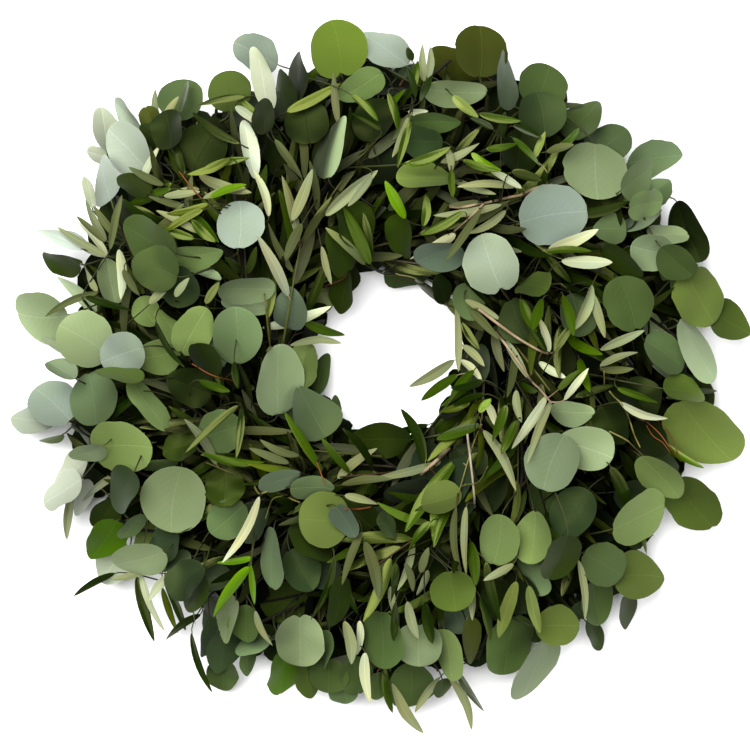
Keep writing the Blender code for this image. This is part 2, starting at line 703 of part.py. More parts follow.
def join_pieces(name, bodies, finish):
    """One solid of the first body and all the others, by one Boolean union on a collection.

    EXACT leaves open edges where thin petioles meet a stem, so the solver is MANIFOLD.
    """
    joined = mesh_object(name, bodies[0])
    others = bpy.data.collections.new(name + "_pieces")
    bpy.context.scene.collection.children.link(others)
    for index, body in enumerate(bodies[1:]):
        piece = mesh_object(f"{name}_piece_{index}", body)
        bpy.context.scene.collection.objects.unlink(piece)
        others.objects.link(piece)
    if len(bodies) > 1:
        union = joined.modifiers.new("Union", "BOOLEAN")
        union.operation = "UNION"
        union.solver = "MANIFOLD"
        union.operand_type = "COLLECTION"
        union.collection = others
        evaluated = joined.evaluated_get(bpy.context.evaluated_depsgraph_get())
        mesh = bpy.data.meshes.new_from_object(evaluated)
        joined.modifiers.remove(union)
        joined.data = mesh
        joined.data.name = name
        keep_largest_body(mesh)
    for piece in list(others.objects):
        bpy.data.objects.remove(piece, do_unlink=True)
    bpy.data.collections.remove(others)
    joined.data.materials.clear()
    joined.data.materials.append(finish)
    return joined


def centre_on_footprint(objects):
    """Move every mesh so that the origin lies under the middle of the wreath's box."""
    corners = np.array([corner.co for made in objects for corner in made.data.vertices])
    low, high = corners.min(axis=0), corners.max(axis=0)
    shift = Matrix.Translation(Vector((-(low[0] + high[0]) / 2, -(low[1] + high[1]) / 2, -low[2])))
    for made in objects:
        made.data.transform(shift)


def lay_out_foliage():
    """The stems with all their leaves, the same on every run."""
    rng = random.Random(SEED)
    room = Room()
    stems = plan_stems(rng)
    for bar in ring_bars() + [binding_turns()]:
        room.add(bar, "ring")
    for stem in stems:
        room.add(stem.body, stem)
    footholds = {}
    for kind in ("round", "olive"):
        footholds[kind] = Footholds([stem for stem in stems if stem.kind == kind])
    layers = (
        ("round", ROUND_ON_TOP, round_leaf_ends, (0.004, "round")),
        ("olive", OLIVE_ON_TOP, olive_leaf_ends, (0.0, "olive")),
        ("round", ROUND_BELOW, round_leaf_ends, (0.012, "under")),
    )
    for kind, readings, ends, layer in layers:
        for leaves in readings.values():
            for reading in leaves:
                base, tip, width = ends(reading)
                place_shown_leaf(kind, base, tip, width, layer, footholds[kind], room, rng)
    for stem in sorted(stems, key=lambda stem: stem.kind):
        add_side_leaves(stem, room, rng)
    return stems


def main():
    clear_scene()
    wire = material("galvanised_wire", (0.32, 0.33, 0.31), 0.45, 1.0)
    binding = material("green_binding_wire", (0.09, 0.14, 0.07), 0.5, 0.6)
    eucalyptus = material("eucalyptus_leaf", (0.22, 0.29, 0.17), 0.6)
    olive = material("olive_leaf", (0.13, 0.17, 0.07), 0.45)
    bars = ring_bars()
    made = [join_pieces("wire_frame", bars, wire), join_pieces("binding_wire", [binding_turns()], binding)]
    counts = {"round": 0, "olive": 0}
    for stem in lay_out_foliage():
        counts[stem.kind] += 1
        word = "eucalyptus_spray" if stem.kind == "round" else "olive_sprig"
        finish = eucalyptus if stem.kind == "round" else olive
        bodies = [stem.body] + [leaf.body() for leaf in stem.leaves]
        made.append(join_pieces(f"{word}_{counts[stem.kind]:02d}", bodies, finish))
    centre_on_footprint(made)
    print("triangles", sum(len(face.vertices) - 2 for item in made for face in item.data.polygons))


main()
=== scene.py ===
# Eucalyptus and olive wreath, lying on its back and seen from straight above
import math
import random

import bmesh
import bpy
import numpy as np
from mathutils import Matrix, Vector
from mathutils.bvhtree import BVHTree


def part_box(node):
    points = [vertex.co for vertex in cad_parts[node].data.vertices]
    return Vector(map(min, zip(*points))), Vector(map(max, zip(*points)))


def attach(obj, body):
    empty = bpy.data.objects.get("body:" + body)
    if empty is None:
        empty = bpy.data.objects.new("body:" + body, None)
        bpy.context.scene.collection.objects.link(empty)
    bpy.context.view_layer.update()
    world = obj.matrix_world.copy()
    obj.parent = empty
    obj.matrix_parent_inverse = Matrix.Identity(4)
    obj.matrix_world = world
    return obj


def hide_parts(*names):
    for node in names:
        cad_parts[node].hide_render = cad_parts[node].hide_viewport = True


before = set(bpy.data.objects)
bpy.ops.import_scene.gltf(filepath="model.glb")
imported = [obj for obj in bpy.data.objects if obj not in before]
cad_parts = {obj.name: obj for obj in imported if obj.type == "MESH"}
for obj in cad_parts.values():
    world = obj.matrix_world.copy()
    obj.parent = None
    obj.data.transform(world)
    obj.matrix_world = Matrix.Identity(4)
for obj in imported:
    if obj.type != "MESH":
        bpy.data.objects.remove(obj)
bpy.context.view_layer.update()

# The layout is worked out round the middle of the wire ring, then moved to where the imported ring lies
ringLow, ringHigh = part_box("wire_frame")
ringMiddle = Vector(((ringLow[0] + ringHigh[0]) / 2, (ringLow[1] + ringHigh[1]) / 2, 0.0))

studio = {
    "floorSide": 6.0, "floorDrop": 0.0006, "floorColour": 0.92, "floorRough": 0.9,
    "keyPower": 270.0, "keySize": 3.0, "keyAt": (-0.85, 1.0, 2.5),
    "fillPower": 45.0, "fillSize": 2.5, "fillAt": (1.3, -1.1, 2.2),
    "lightsAim": 0.03, "sky": 0.1, "cameraHeight": 3.06, "lens": 192.0, "sensor": 36.0, "farthest": 20.0,
    "onFace": 2.8,  # how bright a white face turned to the light shows, where 1 is the picture's brightest
}

photo = {"pixel": 0.00075, "ringAt": (384, 362), "middle": (375, 375)}  # a pixel in metres, then two places

layoutSeed = 7


def polar(radius, degrees, height):
    angle = math.radians(degrees)
    return Vector((radius * math.cos(angle), radius * math.sin(angle), height))


def fromMiddle(spot):
    # How far a spot is from the middle of the ring, and on which side of it in degrees
    return math.hypot(spot.x, spot.y), math.degrees(math.atan2(spot.y, spot.x))


def atPixel(x, y):
    middleX, middleY = photo["ringAt"]
    return Vector(((x - middleX) * photo["pixel"], (middleY - y) * photo["pixel"], 0.0))


def clamped(value, low=0.0, high=1.0):
    return min(high, max(low, value))


def squareTo(direction, axis):
    # The part of a direction that is square to the axis
    return (direction - axis * direction.dot(axis)).normalized()


crown = {
    "crestRadius": 0.135, "crestHeight": 0.092, "edgeHeight": 0.015, "rimReach": 0.15, "holeReach": 0.1,
    "holeRadius": 0.062, "rimRadius": 0.255, "leastHeight": 0.002,
}


def crownHeight(radius):
    reach = crown["rimReach"] if radius > crown["crestRadius"] else crown["holeReach"]
    fall = ((radius - crown["crestRadius"]) / reach) ** 2
    return crown["edgeHeight"] + (crown["crestHeight"] - crown["edgeHeight"]) * max(0.0, 1.0 - fall)


def crownSlope(radius):
    step = 0.002
    return (crownHeight(radius + step) - crownHeight(radius - step)) / (2 * step)


def loft(rings, closed=False, tip=None):
    # Join rings of equal count with triangles that run alike on every face, and close the ends
    count = len(rings[0])
    corners = sum(rings, [])
    faces = []
    spans = len(rings) if closed else len(rings) - 1
    for span in range(spans):
        here = span * count
        ahead = ((span + 1) % len(rings)) * count
        for side in range(count):
            beside = (side + 1) % count
            # the shared diagonals of a blade start at its edges, corners 0 and 2
            if count == 4 and side in (1, 3):
                faces.append((here + side, here + beside, ahead + side))
                faces.append((here + beside, ahead + beside, ahead + side))
            else:
                faces.append((here + side, here + beside, ahead + beside))
                faces.append((here + side, ahead + beside, ahead + side))
    if closed:
        return corners, faces
    faces.extend((0, step + 1, step) for step in range(1, count - 1))
    last = (len(rings) - 1) * count
    if tip is None:
        faces.extend((last, last + step, last + step + 1) for step in range(1, count - 1))
    else:
        corners.append(tip)
        faces.extend((last + side, last + (side + 1) % count, len(corners) - 1) for side in range(count))
    return corners, faces


def squareTube(points, halves, closed=False):
    # A four-sided bar along the points with its flats level, where no stretch runs straight up
    rings = []
    for index, point in enumerate(points):
        before = points[index - 1] if index or closed else point
        after = points[(index + 1) % len(points)] if index + 1 < len(points) or closed else point
        along = (after - before).normalized()
        side = along.cross(Vector((0, 0, 1))).normalized()
        rise = side.cross(along)
        half = halves[index]
        corners = ((half, -half), (half, half), (-half, half), (-half, -half))
        rings.append([point + side * across + rise * up for across, up in corners])
    return loft(rings, closed)


stemHalf = {"round": (0.002, 0.0012), "olive": (0.0016, 0.0011)}  # half the thickness at cut end and tip


# Past its seat each stem sweeps clockwise: degrees of sweep, then radius and height along it
stemSweep = (-4, 4, 11, 20, 32, 47, 65)
stemDrift = {"fromSweep": 18, "outward": (-0.006, 0.006), "upward": (-0.002, 0.003)}
stemFamilies = {
    "outer": {
        "end": 65,
        "radius": ((-4, 0.108), (10, 0.1085), (25, 0.122), (45, 0.165), (65, 0.232)),
        "height": ((-4, 0.0), (3.5, 0.0), (11, 0.0056), (15, 0.0078), (30, 0.013), (65, 0.017)),
    },
    "crest": {
        "end": 55,
        "radius": ((-4, 0.098), (12, 0.0985), (25, 0.104), (40, 0.122), (58, 0.15)),
        "height": ((-4, 0.0), (3.5, 0.0), (11, 0.0064), (15, 0.01), (30, 0.029), (58, 0.048)),
    },
    "inner": {
        "end": 45,
        "radius": ((-4, 0.098), (10, 0.0975), (20, 0.092), (50, 0.068)),
        "height": ((-4, 0.0), (3.5, 0.0), (11, 0.0056), (15, 0.0078), (50, 0.025)),
    },
}


class Stem:
    # One leafy stem: its route from the seat, its pieces and the leaves that it carries

    def __init__(self, kind, family, seat, rng):
        self.kind = kind
        start, end = stemHalf[kind]
        plan = stemFamilies[family]
        sweeps = [sweep for sweep in stemSweep if sweep < plan["end"]] + [plan["end"]]
        drift = rng.uniform(*stemDrift["outward"])
        lift = rng.uniform(*stemDrift["upward"])
        floor = ring["rails"]["highOuter"][1] + ring["wire"] + ring["seatGap"] + start
        self.route, self.halves = [], []
        for sweep in sweeps:
            share = (sweep - sweeps[0]) / (sweeps[-1] - sweeps[0])
            loose = max(0.0, (sweep - stemDrift["fromSweep"]) / (sweeps[-1] - stemDrift["fromSweep"]))
            radius = np.interp(sweep, *zip(*plan["radius"])) + drift * loose
            height = np.interp(sweep, *zip(*plan["height"])) + lift * loose
            self.route.append(polar(radius, seat - sweep, floor + height))
            self.halves.append(start + (end - start) * share)
        self.body = squareTube(self.route, self.halves)
        self.leaves, self.twigs = [], []

    def holds(self):
        # Points on the stem's middle line where a leaf may grow, from its first bend to its tip
        found = []
        leafy = self.route[foothold["firstPoint"]:]
        for start, end in zip(leafy, leafy[1:]):
            steps = max(1, int((end - start).length / foothold["step"]))
            found.extend(start.lerp(end, step / steps) for step in range(steps))
        found.append(leafy[-2].lerp(leafy[-1], foothold["nearTip"]))
        return found


class Room:
    # What is already placed, asked whether a new piece would touch it

    def __init__(self):
        self.trees, self.owners = [], []
        self.lows, self.highs = np.zeros((0, 3)), np.zeros((0, 3))

    def add(self, body, owner):
        corners = np.array(body[0])
        self.trees.append(BVHTree.FromPolygons(body[0], body[1], all_triangles=True))
        self.owners.append(owner)
        self.lows = np.vstack([self.lows, corners.min(axis=0)])
        self.highs = np.vstack([self.highs, corners.max(axis=0)])

    def touches(self, body, passed=None):
        corners = np.array(body[0])
        low, high = corners.min(axis=0), corners.max(axis=0)
        near = np.nonzero(np.all(self.lows <= high, axis=1) & np.all(self.highs >= low, axis=1))[0]
        if not len(near):
            return False
        tree = BVHTree.FromPolygons(body[0], body[1], all_triangles=True)
        return any(self.owners[item] is not passed and tree.overlap(self.trees[item]) for item in near)

    def isFree(self, body):
        return min(corner.z for corner in body[0]) > crown["leastHeight"] and not self.touches(body)


petiole = {"radius": {"round": 0.0009, "olive": 0.0007}, "longest": 0.085}
bladeSolid = {
    "keel": {"round": 0.0013, "olive": 0.0012},
    "clearance": 0.0007,
    "lowerCorners": {"petiole": 0.6, "blade": 0.5},
}


# Half widths along a plain blade, as shares of its length and of half its width
bladeStations = {
    "round": ((0.2, 0.8), (0.55, 1.00), (0.86, 0.68)),
    "under": ((0.28, 0.93), (0.76, 0.86)),
    "olive": ((0.34, 1.00), (0.74, 0.66)),
}


class Leaf:
    # A blade on its petiole. The blade runs from base along axis, and its upper face looks along normal

    def __init__(self, kind, base, axis, normal, length, width, bend, cup, outline=None, root=None):
        self.kind, self.outline = kind, bladeStations[outline or kind]
        self.base, self.axis, self.normal, self.side = base, axis, normal, axis.cross(normal)
        self.length, self.width, self.bend, self.cup = length, width, bend, cup
        self.root, self.onTwig = root, False
        self.tone, self.sort, self.grade = None, None, "side"

    def point(self, along, across, rise=0.0):
        # A point of the blade: along runs 0 to 1, across -1 to 1 at its full width, rise is in metres
        half = self.width / 2
        lift = self.bend * self.length * along ** 2 + self.cup * half * across ** 2
        flat = self.axis * self.length * along + self.side * half * across
        return self.base + flat + self.normal * (lift + rise)

    def bladeRings(self, swell):
        thick = bladeSolid["keel"][self.kind] / 2 + swell
        rings = []
        for along, share in self.outline:
            edge = share + 2 * swell / self.width
            left, right = self.point(along, -edge), self.point(along, edge)
            top = self.point(along, 0, thick)
            if self.kind == "round":
                rings.append([left, top, right, self.point(along, 0, -thick)])
            else:
                drop = self.normal * thick * bladeSolid["lowerCorners"]["blade"]
                rings.append([left - drop, top, right - drop])
        return rings

    def tip(self, swell):
        return self.point(1.0, 0) + self.axis * swell

    def petioleRing(self, middle, along, radius):
        side = squareTo(self.side, along) * radius
        rise = side.cross(along)
        if self.kind == "round":
            return [middle - side, middle + rise, middle + side, middle - rise]
        lower = middle - rise * bladeSolid["lowerCorners"]["petiole"]
        return [lower - side, middle + rise, lower + side]

    def body(self, swell=0.0):
        run = (self.base - self.root).normalized()
        turn = (run + self.axis).normalized()
        radius = petiole["radius"][self.kind] + swell
        rings = [self.petioleRing(self.root, run, radius), self.petioleRing(self.base, turn, radius)]
        return loft(rings + self.bladeRings(swell), tip=self.tip(swell))

    def blade(self, swell=0.0):
        first = self.petioleRing(self.base, self.axis, petiole["radius"][self.kind] + swell)
        return loft([first] + self.bladeRings(swell), tip=self.tip(swell))


ring = {
    "wire": 0.0025, "seatGap": 0.0003, "seats": 24, "braces": 6,
    "brace": {"shoulder": 0.55, "slim": 0.88},  # where it turns level, and its thickness next to a rail's
    "rails": {  # the circle's radius, and how high the rail's underside is
        "outer": (0.127, 0.0), "highOuter": (0.111, 0.0105), "highInner": (0.095, 0.0105),
        "inner": (0.079, 0.0),
    },
}
binding = {
    "radius": 0.0007,
    "turn": (  # the rail passed, how far outside its circle, at which level, and degrees behind the seat
        ("highOuter", 0.0015, "over", 1.5), ("highInner", -0.001, "over", -1.5),
        ("highInner", -0.004, "beside", -4.0), ("highInner", -0.001, "under", -6.0),
        ("highOuter", 0.001, "under", -9.0), ("highOuter", 0.0042, "beside", -11.0),
    ),
}


def bracePoints(brace):
    # A brace's bends: up from the inner rail, level over the raised ones, and down to the outer rail
    half = ring["wire"] / 2
    angle = 180 / ring["seats"] + 360 / ring["braces"] * brace
    rails = [ring["rails"][name] for name in ("inner", "highInner", "highOuter", "outer")]
    points = [polar(radius, angle, underside + half) for radius, underside in rails]
    shoulder = ring["brace"]["shoulder"]
    points.insert(1, points[0].lerp(points[1], shoulder) + Vector((0, 0, half)))
    points.insert(4, points[4].lerp(points[3], shoulder) + Vector((0, 0, half)))
    return points


def ringBars():
    # The ring as the solids have it: rails with a corner at each side of a seat, and square braces
    half, seats = ring["wire"] / 2, ring["seats"]
    turn = 360 / seats
    bars = []
    for radius, underside in ring["rails"].values():
        cornerRadius = radius / math.cos(math.radians(turn / 2))
        points = [polar(cornerRadius, turn * (step + 0.5), underside + half) for step in range(seats)]
        bars.append(squareTube(points, [half] * seats, closed=True))
    for brace in range(ring["braces"]):
        points = bracePoints(brace)
        bars.append(squareTube(points, [half * ring["brace"]["slim"]] * len(points)))
    return bars


def bindingRoute():
    # Points of one closed winding, a turn to each seat, round the raised rails and the cut ends on them
    railUnderside = ring["rails"]["highOuter"][1]
    stemTop = railUnderside + ring["wire"] + ring["seatGap"] + 2 * stemHalf["round"][0]
    levels = {
        "over": stemTop + ring["seatGap"] + binding["radius"],
        "beside": railUnderside + ring["wire"] / 2,
        "under": railUnderside - ring["seatGap"] - binding["radius"],
    }
    route = []
    for seat in range(ring["seats"]):
        angle = -(seat + 0.5) * 360 / ring["seats"]
        route.extend(polar(ring["rails"][rail][0] + away, angle + lag, levels[level])
                     for rail, away, level, lag in binding["turn"])
    return route


def bindingTurns():
    # The winding as the solids have it, three-sided
    route = bindingRoute()
    coreRadius = (ring["rails"]["highOuter"][0] + ring["rails"]["highInner"][0]) / 2
    coreHeight = ring["rails"]["highOuter"][1] + ring["wire"] / 2
    thirds = [math.radians(turn) for turn in (180, 60, -60)]
    rings = []
    for index, point in enumerate(route):
        along = (route[(index + 1) % len(route)] - route[index - 1]).normalized()
        core = polar(coreRadius, fromMiddle(point)[1], coreHeight)
        towards = squareTo(core - point, along) * binding["radius"]
        side = along.cross(towards)
        rings.append([point + towards * math.cos(turn) + side * math.sin(turn) for turn in thirds])
    return loft(rings, closed=True)


def planStems(rng):
    # Every seat has one stem in its outer slot and one in its inner slot, eucalyptus and olive by turns
    stems = []
    for seat in range(ring["seats"]):
        angle = (seat + 0.5) * 360 / ring["seats"]
        outerKind, innerKind = ("round", "olive") if seat % 2 == 0 else ("olive", "round")
        stems.append(Stem(outerKind, "outer", angle, rng))
        stems.append(Stem(innerKind, "inner" if seat % 3 == 2 else "crest", angle, rng))
    return stems


# How a shown leaf lies: shares of the crown's slope that its run and its face take, then spreads and limits
leafPose = {
    "runSlope": 0.7, "faceSlope": 0.42, "pitchSpread": 9, "mostPitch": 0.6, "leastShown": 0.47,
    "roundness": 0.9, "widest": 1.12, "leastOliveWidth": 0.0065,
    "roll": {"round": (-6, 6), "olive": (0, 38)},
    "bend": {"round": (-0.1, 0.06), "olive": (-0.16, 0.06)},
    "cup": {"round": (-0.1, 0.22), "olive": (-0.3, -0.05)},
}


def posedLeaf(kind, base, tip, width, height, outline, rng):
    # A leaf whose plan runs from base to tip, tilted with the crown and rolled to its shown width
    pose, middle = leafPose, (base + tip) / 2
    heading = (tip - base).normalized()
    outward, slope = middle / middle.length, crownSlope(middle.length)
    pitch = math.atan(slope * pose["runSlope"] * outward.dot(heading))
    pitch += math.radians(rng.gauss(0, pose["pitchSpread"]))
    pitch = clamped(pitch, -pose["mostPitch"], pose["mostPitch"])
    axis = heading * math.cos(pitch) + Vector((0, 0, math.sin(pitch)))
    length = (tip - base).length / math.cos(pitch)
    normal = squareTo(Vector((0, 0, 1)) - outward * slope * pose["faceSlope"], axis)
    roll = math.radians(rng.uniform(*pose["roll"][kind]))
    if kind == "round":
        roll += math.acos(clamped(width / (pose["roundness"] * length), pose["leastShown"]))
    normal = Matrix.Rotation(roll * rng.choice((-1, 1)), 3, axis) @ normal
    side = axis.cross(normal)
    shown = max(pose["leastShown"], math.hypot(side.x, side.y))
    trueWidth = min(width / shown, pose["widest"] * length)
    if kind == "olive":
        trueWidth = max(pose["leastOliveWidth"], trueWidth)
    bend, cup = rng.uniform(*pose["bend"][kind]), rng.uniform(*pose["cup"][kind])
    start = base + Vector((0, 0, height - axis.z * length / 2))
    return Leaf(kind, start, axis, normal, length, trueWidth, bend, cup, outline)


# Where on a stem a leaf may grow, in metres, and how its petiole may turn
foothold = {
    "firstPoint": 3, "nearTip": 0.93, "step": 0.004, "nearest": 0.005, "spacing": 0.007, "rise": 0.012,
    "turnCost": 0.015, "leastTurn": -0.35, "twist": 0.93,
}


class Footholds:
    # Where leaves of one kind may grow, on all the stems of that kind

    def __init__(self, stems):
        self.stems = []
        points = []
        for stem in stems:
            found = stem.holds()
            points.extend(found)
            self.stems.extend([stem] * len(found))
        self.points = np.array(points)

    def nearest(self, leaf, count):
        away = np.array(leaf.base) - self.points
        distance = np.linalg.norm(away, axis=1)
        run = away / distance[:, None]
        turn = run @ np.array(leaf.axis)
        twist = np.abs(run @ np.array(leaf.side))
        score = distance + foothold["turnCost"] * (1.0 - turn)
        fit = (distance > foothold["nearest"]) & (distance < petiole["longest"])
        fit &= (turn > foothold["leastTurn"]) & (twist < foothold["twist"])
        fit &= away[:, 2] > -foothold["rise"]
        picked = []
        for item in np.argsort(score, kind="stable"):
            if not fit[item]:
                continue
            spot = self.points[item]
            if all(np.linalg.norm(spot - self.points[other]) > foothold["spacing"] for other in picked):
                picked.append(item)
            if len(picked) == count:
                break
        return [(Vector(self.points[item]), self.stems[item]) for item in picked]


def grows(leaf, holds, room, count=6):
    # Give the leaf the nearest free foothold, or none
    if not room.isFree(leaf.blade(bladeSolid["clearance"])):
        return None
    for root, stem in holds.nearest(leaf, count):
        leaf.root = root
        if not room.touches(leaf.body(bladeSolid["clearance"]), passed=stem):
            stem.leaves.append(leaf)
            room.add(leaf.body(), "leaf")
            return leaf
    return None


# How far under the crown a shown leaf may end, in steps, and how many tilts are tried at each
fallUnderCrown = {"steps": 22, "step": 0.0035, "lowest": 0.008, "tilts": 4}


def placeShownLeaf(kind, base, tip, width, layer, holds, room, rng):
    # Try the leaf at falling heights under the crown, with a few tilts at each
    radius = ((base + tip) / 2).length
    firstDrop, outline = layer
    for drop in range(fallUnderCrown["steps"]):
        height = crownHeight(radius) - firstDrop - fallUnderCrown["step"] * drop
        if height < fallUnderCrown["lowest"]:
            break
        for _ in range(fallUnderCrown["tilts"]):
            leaf = grows(posedLeaf(kind, base, tip, width, height, outline, rng), holds, room)
            if leaf:
                return leaf
    return None


# Leaves where the shown ones leave a stem bare
sideLeaves = {
    "most": {"round": 4, "olive": 5},
    "length": {"round": (0.026, 0.036), "olive": (0.036, 0.052)},
    "widthShare": {"round": (0.75, 0.95), "olive": (0.17, 0.19)},
    "stalk": {"round": 0.012, "olive": 0.006}, "outline": {"round": "under", "olive": "olive"},
    "cup": {"round": 0.1, "olive": -0.1}, "bend": (-0.12, 0.0), "turn": (18, 60), "climb": (0.05, 0.7),
    "droop": 0.3, "lean": 0.4, "spacing": 3, "tries": 6,
}


def sideLeaf(kind, root, run, side, rng):
    # A leaf that leaves its stem at root, to one side of the stem's run
    plan = sideLeaves
    heading = Matrix.Rotation(side * math.radians(rng.uniform(*plan["turn"])), 3, "Z") @ run
    heading.z = rng.uniform(*plan["climb"])
    heading.normalize()
    length = rng.uniform(*plan["length"][kind])
    width = length * rng.uniform(*plan["widthShare"][kind])
    base = root + heading * plan["stalk"][kind]
    axis = (heading - Vector((0, 0, plan["droop"]))).normalized()
    lean = plan["lean"]
    normal = squareTo(Vector((rng.uniform(-lean, lean), rng.uniform(-lean, lean), 1.0)), axis)
    bend, cup = rng.uniform(*plan["bend"]), plan["cup"][kind]
    return Leaf(kind, base, axis, normal, length, width, bend, cup, plan["outline"][kind], root)


def addSideLeaves(stem, room, rng):
    # Leaves by rule along a stem, on either side by turns, where the shown leaves leave it bare
    side = 1
    holds = stem.holds()
    for index in range(len(holds) - 2, 0, -sideLeaves["spacing"]):
        run = (holds[index + 1] - holds[index]).normalized()
        for _ in range(sideLeaves["tries"]):
            if len(stem.leaves) >= sideLeaves["most"][stem.kind]:
                return
            leaf = sideLeaf(stem.kind, holds[index], run, side, rng)
            reach = fromMiddle(leaf.point(1, 0))[0]
            if not crown["holeRadius"] < reach < crown["rimRadius"]:
                continue
            if not room.isFree(leaf.blade(bladeSolid["clearance"])):
                continue
            if room.touches(leaf.body(bladeSolid["clearance"]), passed=stem):
                continue
            stem.leaves.append(leaf)
            room.add(leaf.body(), "leaf")
            side = -side
            break


# Tones as they show on a face turned to the light, red, green and blue from 0 to 255
# x and k, the near-black tones, are painted shade for leaves that lie in shadow deep in the foliage
tones = {
    "round": {
        "p": (202, 211, 188), "w": (188, 200, 177), "q": (173, 189, 169), "b": (165, 181, 161),
        "t": (99, 117, 97), "l": (148, 166, 122), "s": (131, 148, 108), "h": (106, 127, 86),
        "m": (120, 141, 80), "y": (103, 127, 40), "o": (106, 123, 56), "c": (93, 115, 71), "g": (84, 104, 40),
        "f": (77, 97, 50), "n": (66, 72, 20), "e": (49, 67, 38), "d": (39, 54, 6), "x": (20, 33, 4),
        "v": (70, 105, 4), "k": (10, 16, 3),
    },
    "olive": {  # "w", "p" and "r" are lower faces, turned up
        "w": (224, 227, 204), "p": (157, 165, 116), "r": (93, 106, 44), "l": (134, 152, 78),
        "m": (92, 114, 36), "g": (62, 90, 8), "o": (92, 108, 20), "d": (26, 46, 4), "v": (104, 150, 8),
        "k": (12, 20, 4),
    },
}
roundLeaf = {
    "detail": {"shown": (16, 5), "side": (10, 3), "bed": (6, 2)},
    "thickness": 0.00045, "fold": (0.02, 0.3), "wave": (0.03, 0.22), "notch": 0.035, "lobes": 1.0,
    "twist": 14, "slim": 1.0, "sideVeins": 8.0, "roughness": 0.5, "bloom": 0.02,
    "midribSharp": 34.0, "veinSlant": 0.42, "veinWander": 0.1, "veinPale": 0.24, "midribPale": 0.6,
    "rim": 0.22, "veinLift": (1.55, 1.45, 1.6), "cloudScale": 26.0, "warm": (0.94, 0.95, 0.86),
    "cool": (1.05, 1.05, 1.07), "underTone": (150, 166, 128), "underMix": 0.45, "underRough": 0.66,
    "bump": 0.35, "specular": 0.12, "underSpecular": 0.1, "glare": (0.8, 1.0, 0.3), "shadedGloss": 0.15,
    "baseShade": 0.74,
}
oliveLeaf = {
    "detail": {"shown": (13, 3), "side": (9, 2), "bed": (6, 2)},
    "thickness": 0.00045, "fold": (0.1, 0.5), "wave": (0.0, 0.1), "notch": 0.0, "lobes": 0.0,
    "twist": 28, "slim": 0.9, "sideVeins": 12.0, "roughness": 0.3, "bloom": 0.0,
    "midribSharp": 52.0, "veinSlant": 0.9, "veinWander": 0.05, "veinPale": 0.1, "midribPale": 0.6,
    "rim": 0.22, "veinLift": (1.7, 1.5, 1.9), "cloudScale": 34.0, "warm": (1.02, 0.97, 0.8),
    "cool": (0.95, 1.02, 1.04), "underTone": (180, 188, 140), "underMix": 0.6, "underRough": 0.62,
    "bump": 0.14, "specular": 0.3, "underSpecular": 0.16, "glare": (0.9, 1.0, 0.3), "shadedGloss": 0.3,
    "baseShade": 0.8,
}


def linear(colour):
    # What the finish must be to show the tone on a face turned to the light
    shares = [part / 255 for part in colour]
    shares = [part / 12.92 if part <= 0.04 else ((part + 0.055) / 1.055) ** 2.4 for part in shares]
    return tuple(part / studio["onFace"] for part in shares)


bladeCurves = {"olive": (2.24, 0.5, 0.68), "pointed": (2.49, 0.5, 0.9), "plump": 0.52}


def spindle(along, scale, rise, fall):
    return scale * along ** rise * (1 - along) ** fall


def outlineShare(kind, along, shape):
    # Half width of a real blade along its length, as a share of the widest
    if kind == "olive":
        return spindle(along, *bladeCurves["olive"])
    along = along ** shape["lean"]
    plump = np.power(np.clip(1 - np.abs(2 * along - 1) ** shape["roundness"], 0, 1), bladeCurves["plump"])
    return plump * (1 - shape["point"]) + spindle(along, *bladeCurves["pointed"]) * shape["point"]


def bladePattern(rows, columns):
    # Faces of a thin closed blade: upper rows, lower rows split along the same lines, a fan at each end
    across = 2 * columns + 1
    low = across - 2
    step = across + low
    upper = [[row * step + item for item in range(across)] for row in range(rows - 1)]
    lower = [[row * step] + [row * step + across + item for item in range(low)] + [row * step + across - 1]
             for row in range(rows - 1)]
    baseAt, tipAt = (rows - 1) * step, (rows - 1) * step + 1
    faces, sides = [], []
    for row in range(rows - 2):
        for item in range(across - 1):
            for side, plane in enumerate((upper, lower)):
                near, beside = plane[row][item], plane[row][item + 1]
                far, opposite = plane[row + 1][item], plane[row + 1][item + 1]
                split = ((near, beside, opposite), (near, opposite, far))
                faces.extend(split if side == 0 else [three[::-1] for three in split])
                sides.extend((side, side))
    for item in range(across - 1):
        ahead = item + 1
        faces += [(baseAt, upper[0][ahead], upper[0][item]), (baseAt, lower[0][item], lower[0][ahead]),
                  (tipAt, upper[-1][item], upper[-1][ahead]), (tipAt, lower[-1][ahead], lower[-1][item])]
        sides += [0, 1, 0, 1]
    return faces, sides


# Sorts of outline: ranges for roundness, lean, point and heart, how lobed a blade is, how much wave, fold
# and twist it keeps, and how much darker one half is painted, as shade across its fold, where that is fixed
bladeSorts = {
    None: ((1.9, 2.6), (0.84, 1.1), (-0.2, 0.5), (-0.04, 0.06), 0.7, 1.0, None),
    "even": ((2.1, 2.4), (0.94, 1.04), (0.0, 0.08), (0.0, 0.03), 0.4, 0.35, None),
    "pointed": ((1.9, 2.2), (0.86, 0.94), (0.62, 0.78), (0.0, 0.02), 0.3, 0.45, None),
    "heart": ((2.2, 2.5), (0.84, 0.92), (0.0, 0.15), (0.07, 0.1), 0.4, 0.5, None),
    "lemon": ((1.15, 1.3), (0.96, 1.04), (0.12, 0.2), (0.0, 0.0), 0.2, 0.5, None),
    "halved": ((2.0, 2.2), (0.94, 1.04), (0.1, 0.2), (0.0, 0.02), 0.8, 0.6, 0.8),
}
# What differs from one blade to the next: ranges, and mean and spread for the notch at the tip
bladeChance = {
    "lobes": (0.01, 0.06), "notch": (-0.6, 0.9), "ripple": (5, 9), "nick": (0.008, 0.03),
    "bow": {"round": 0.05, "olive": 0.08}, "leastCup": 0.25,
}


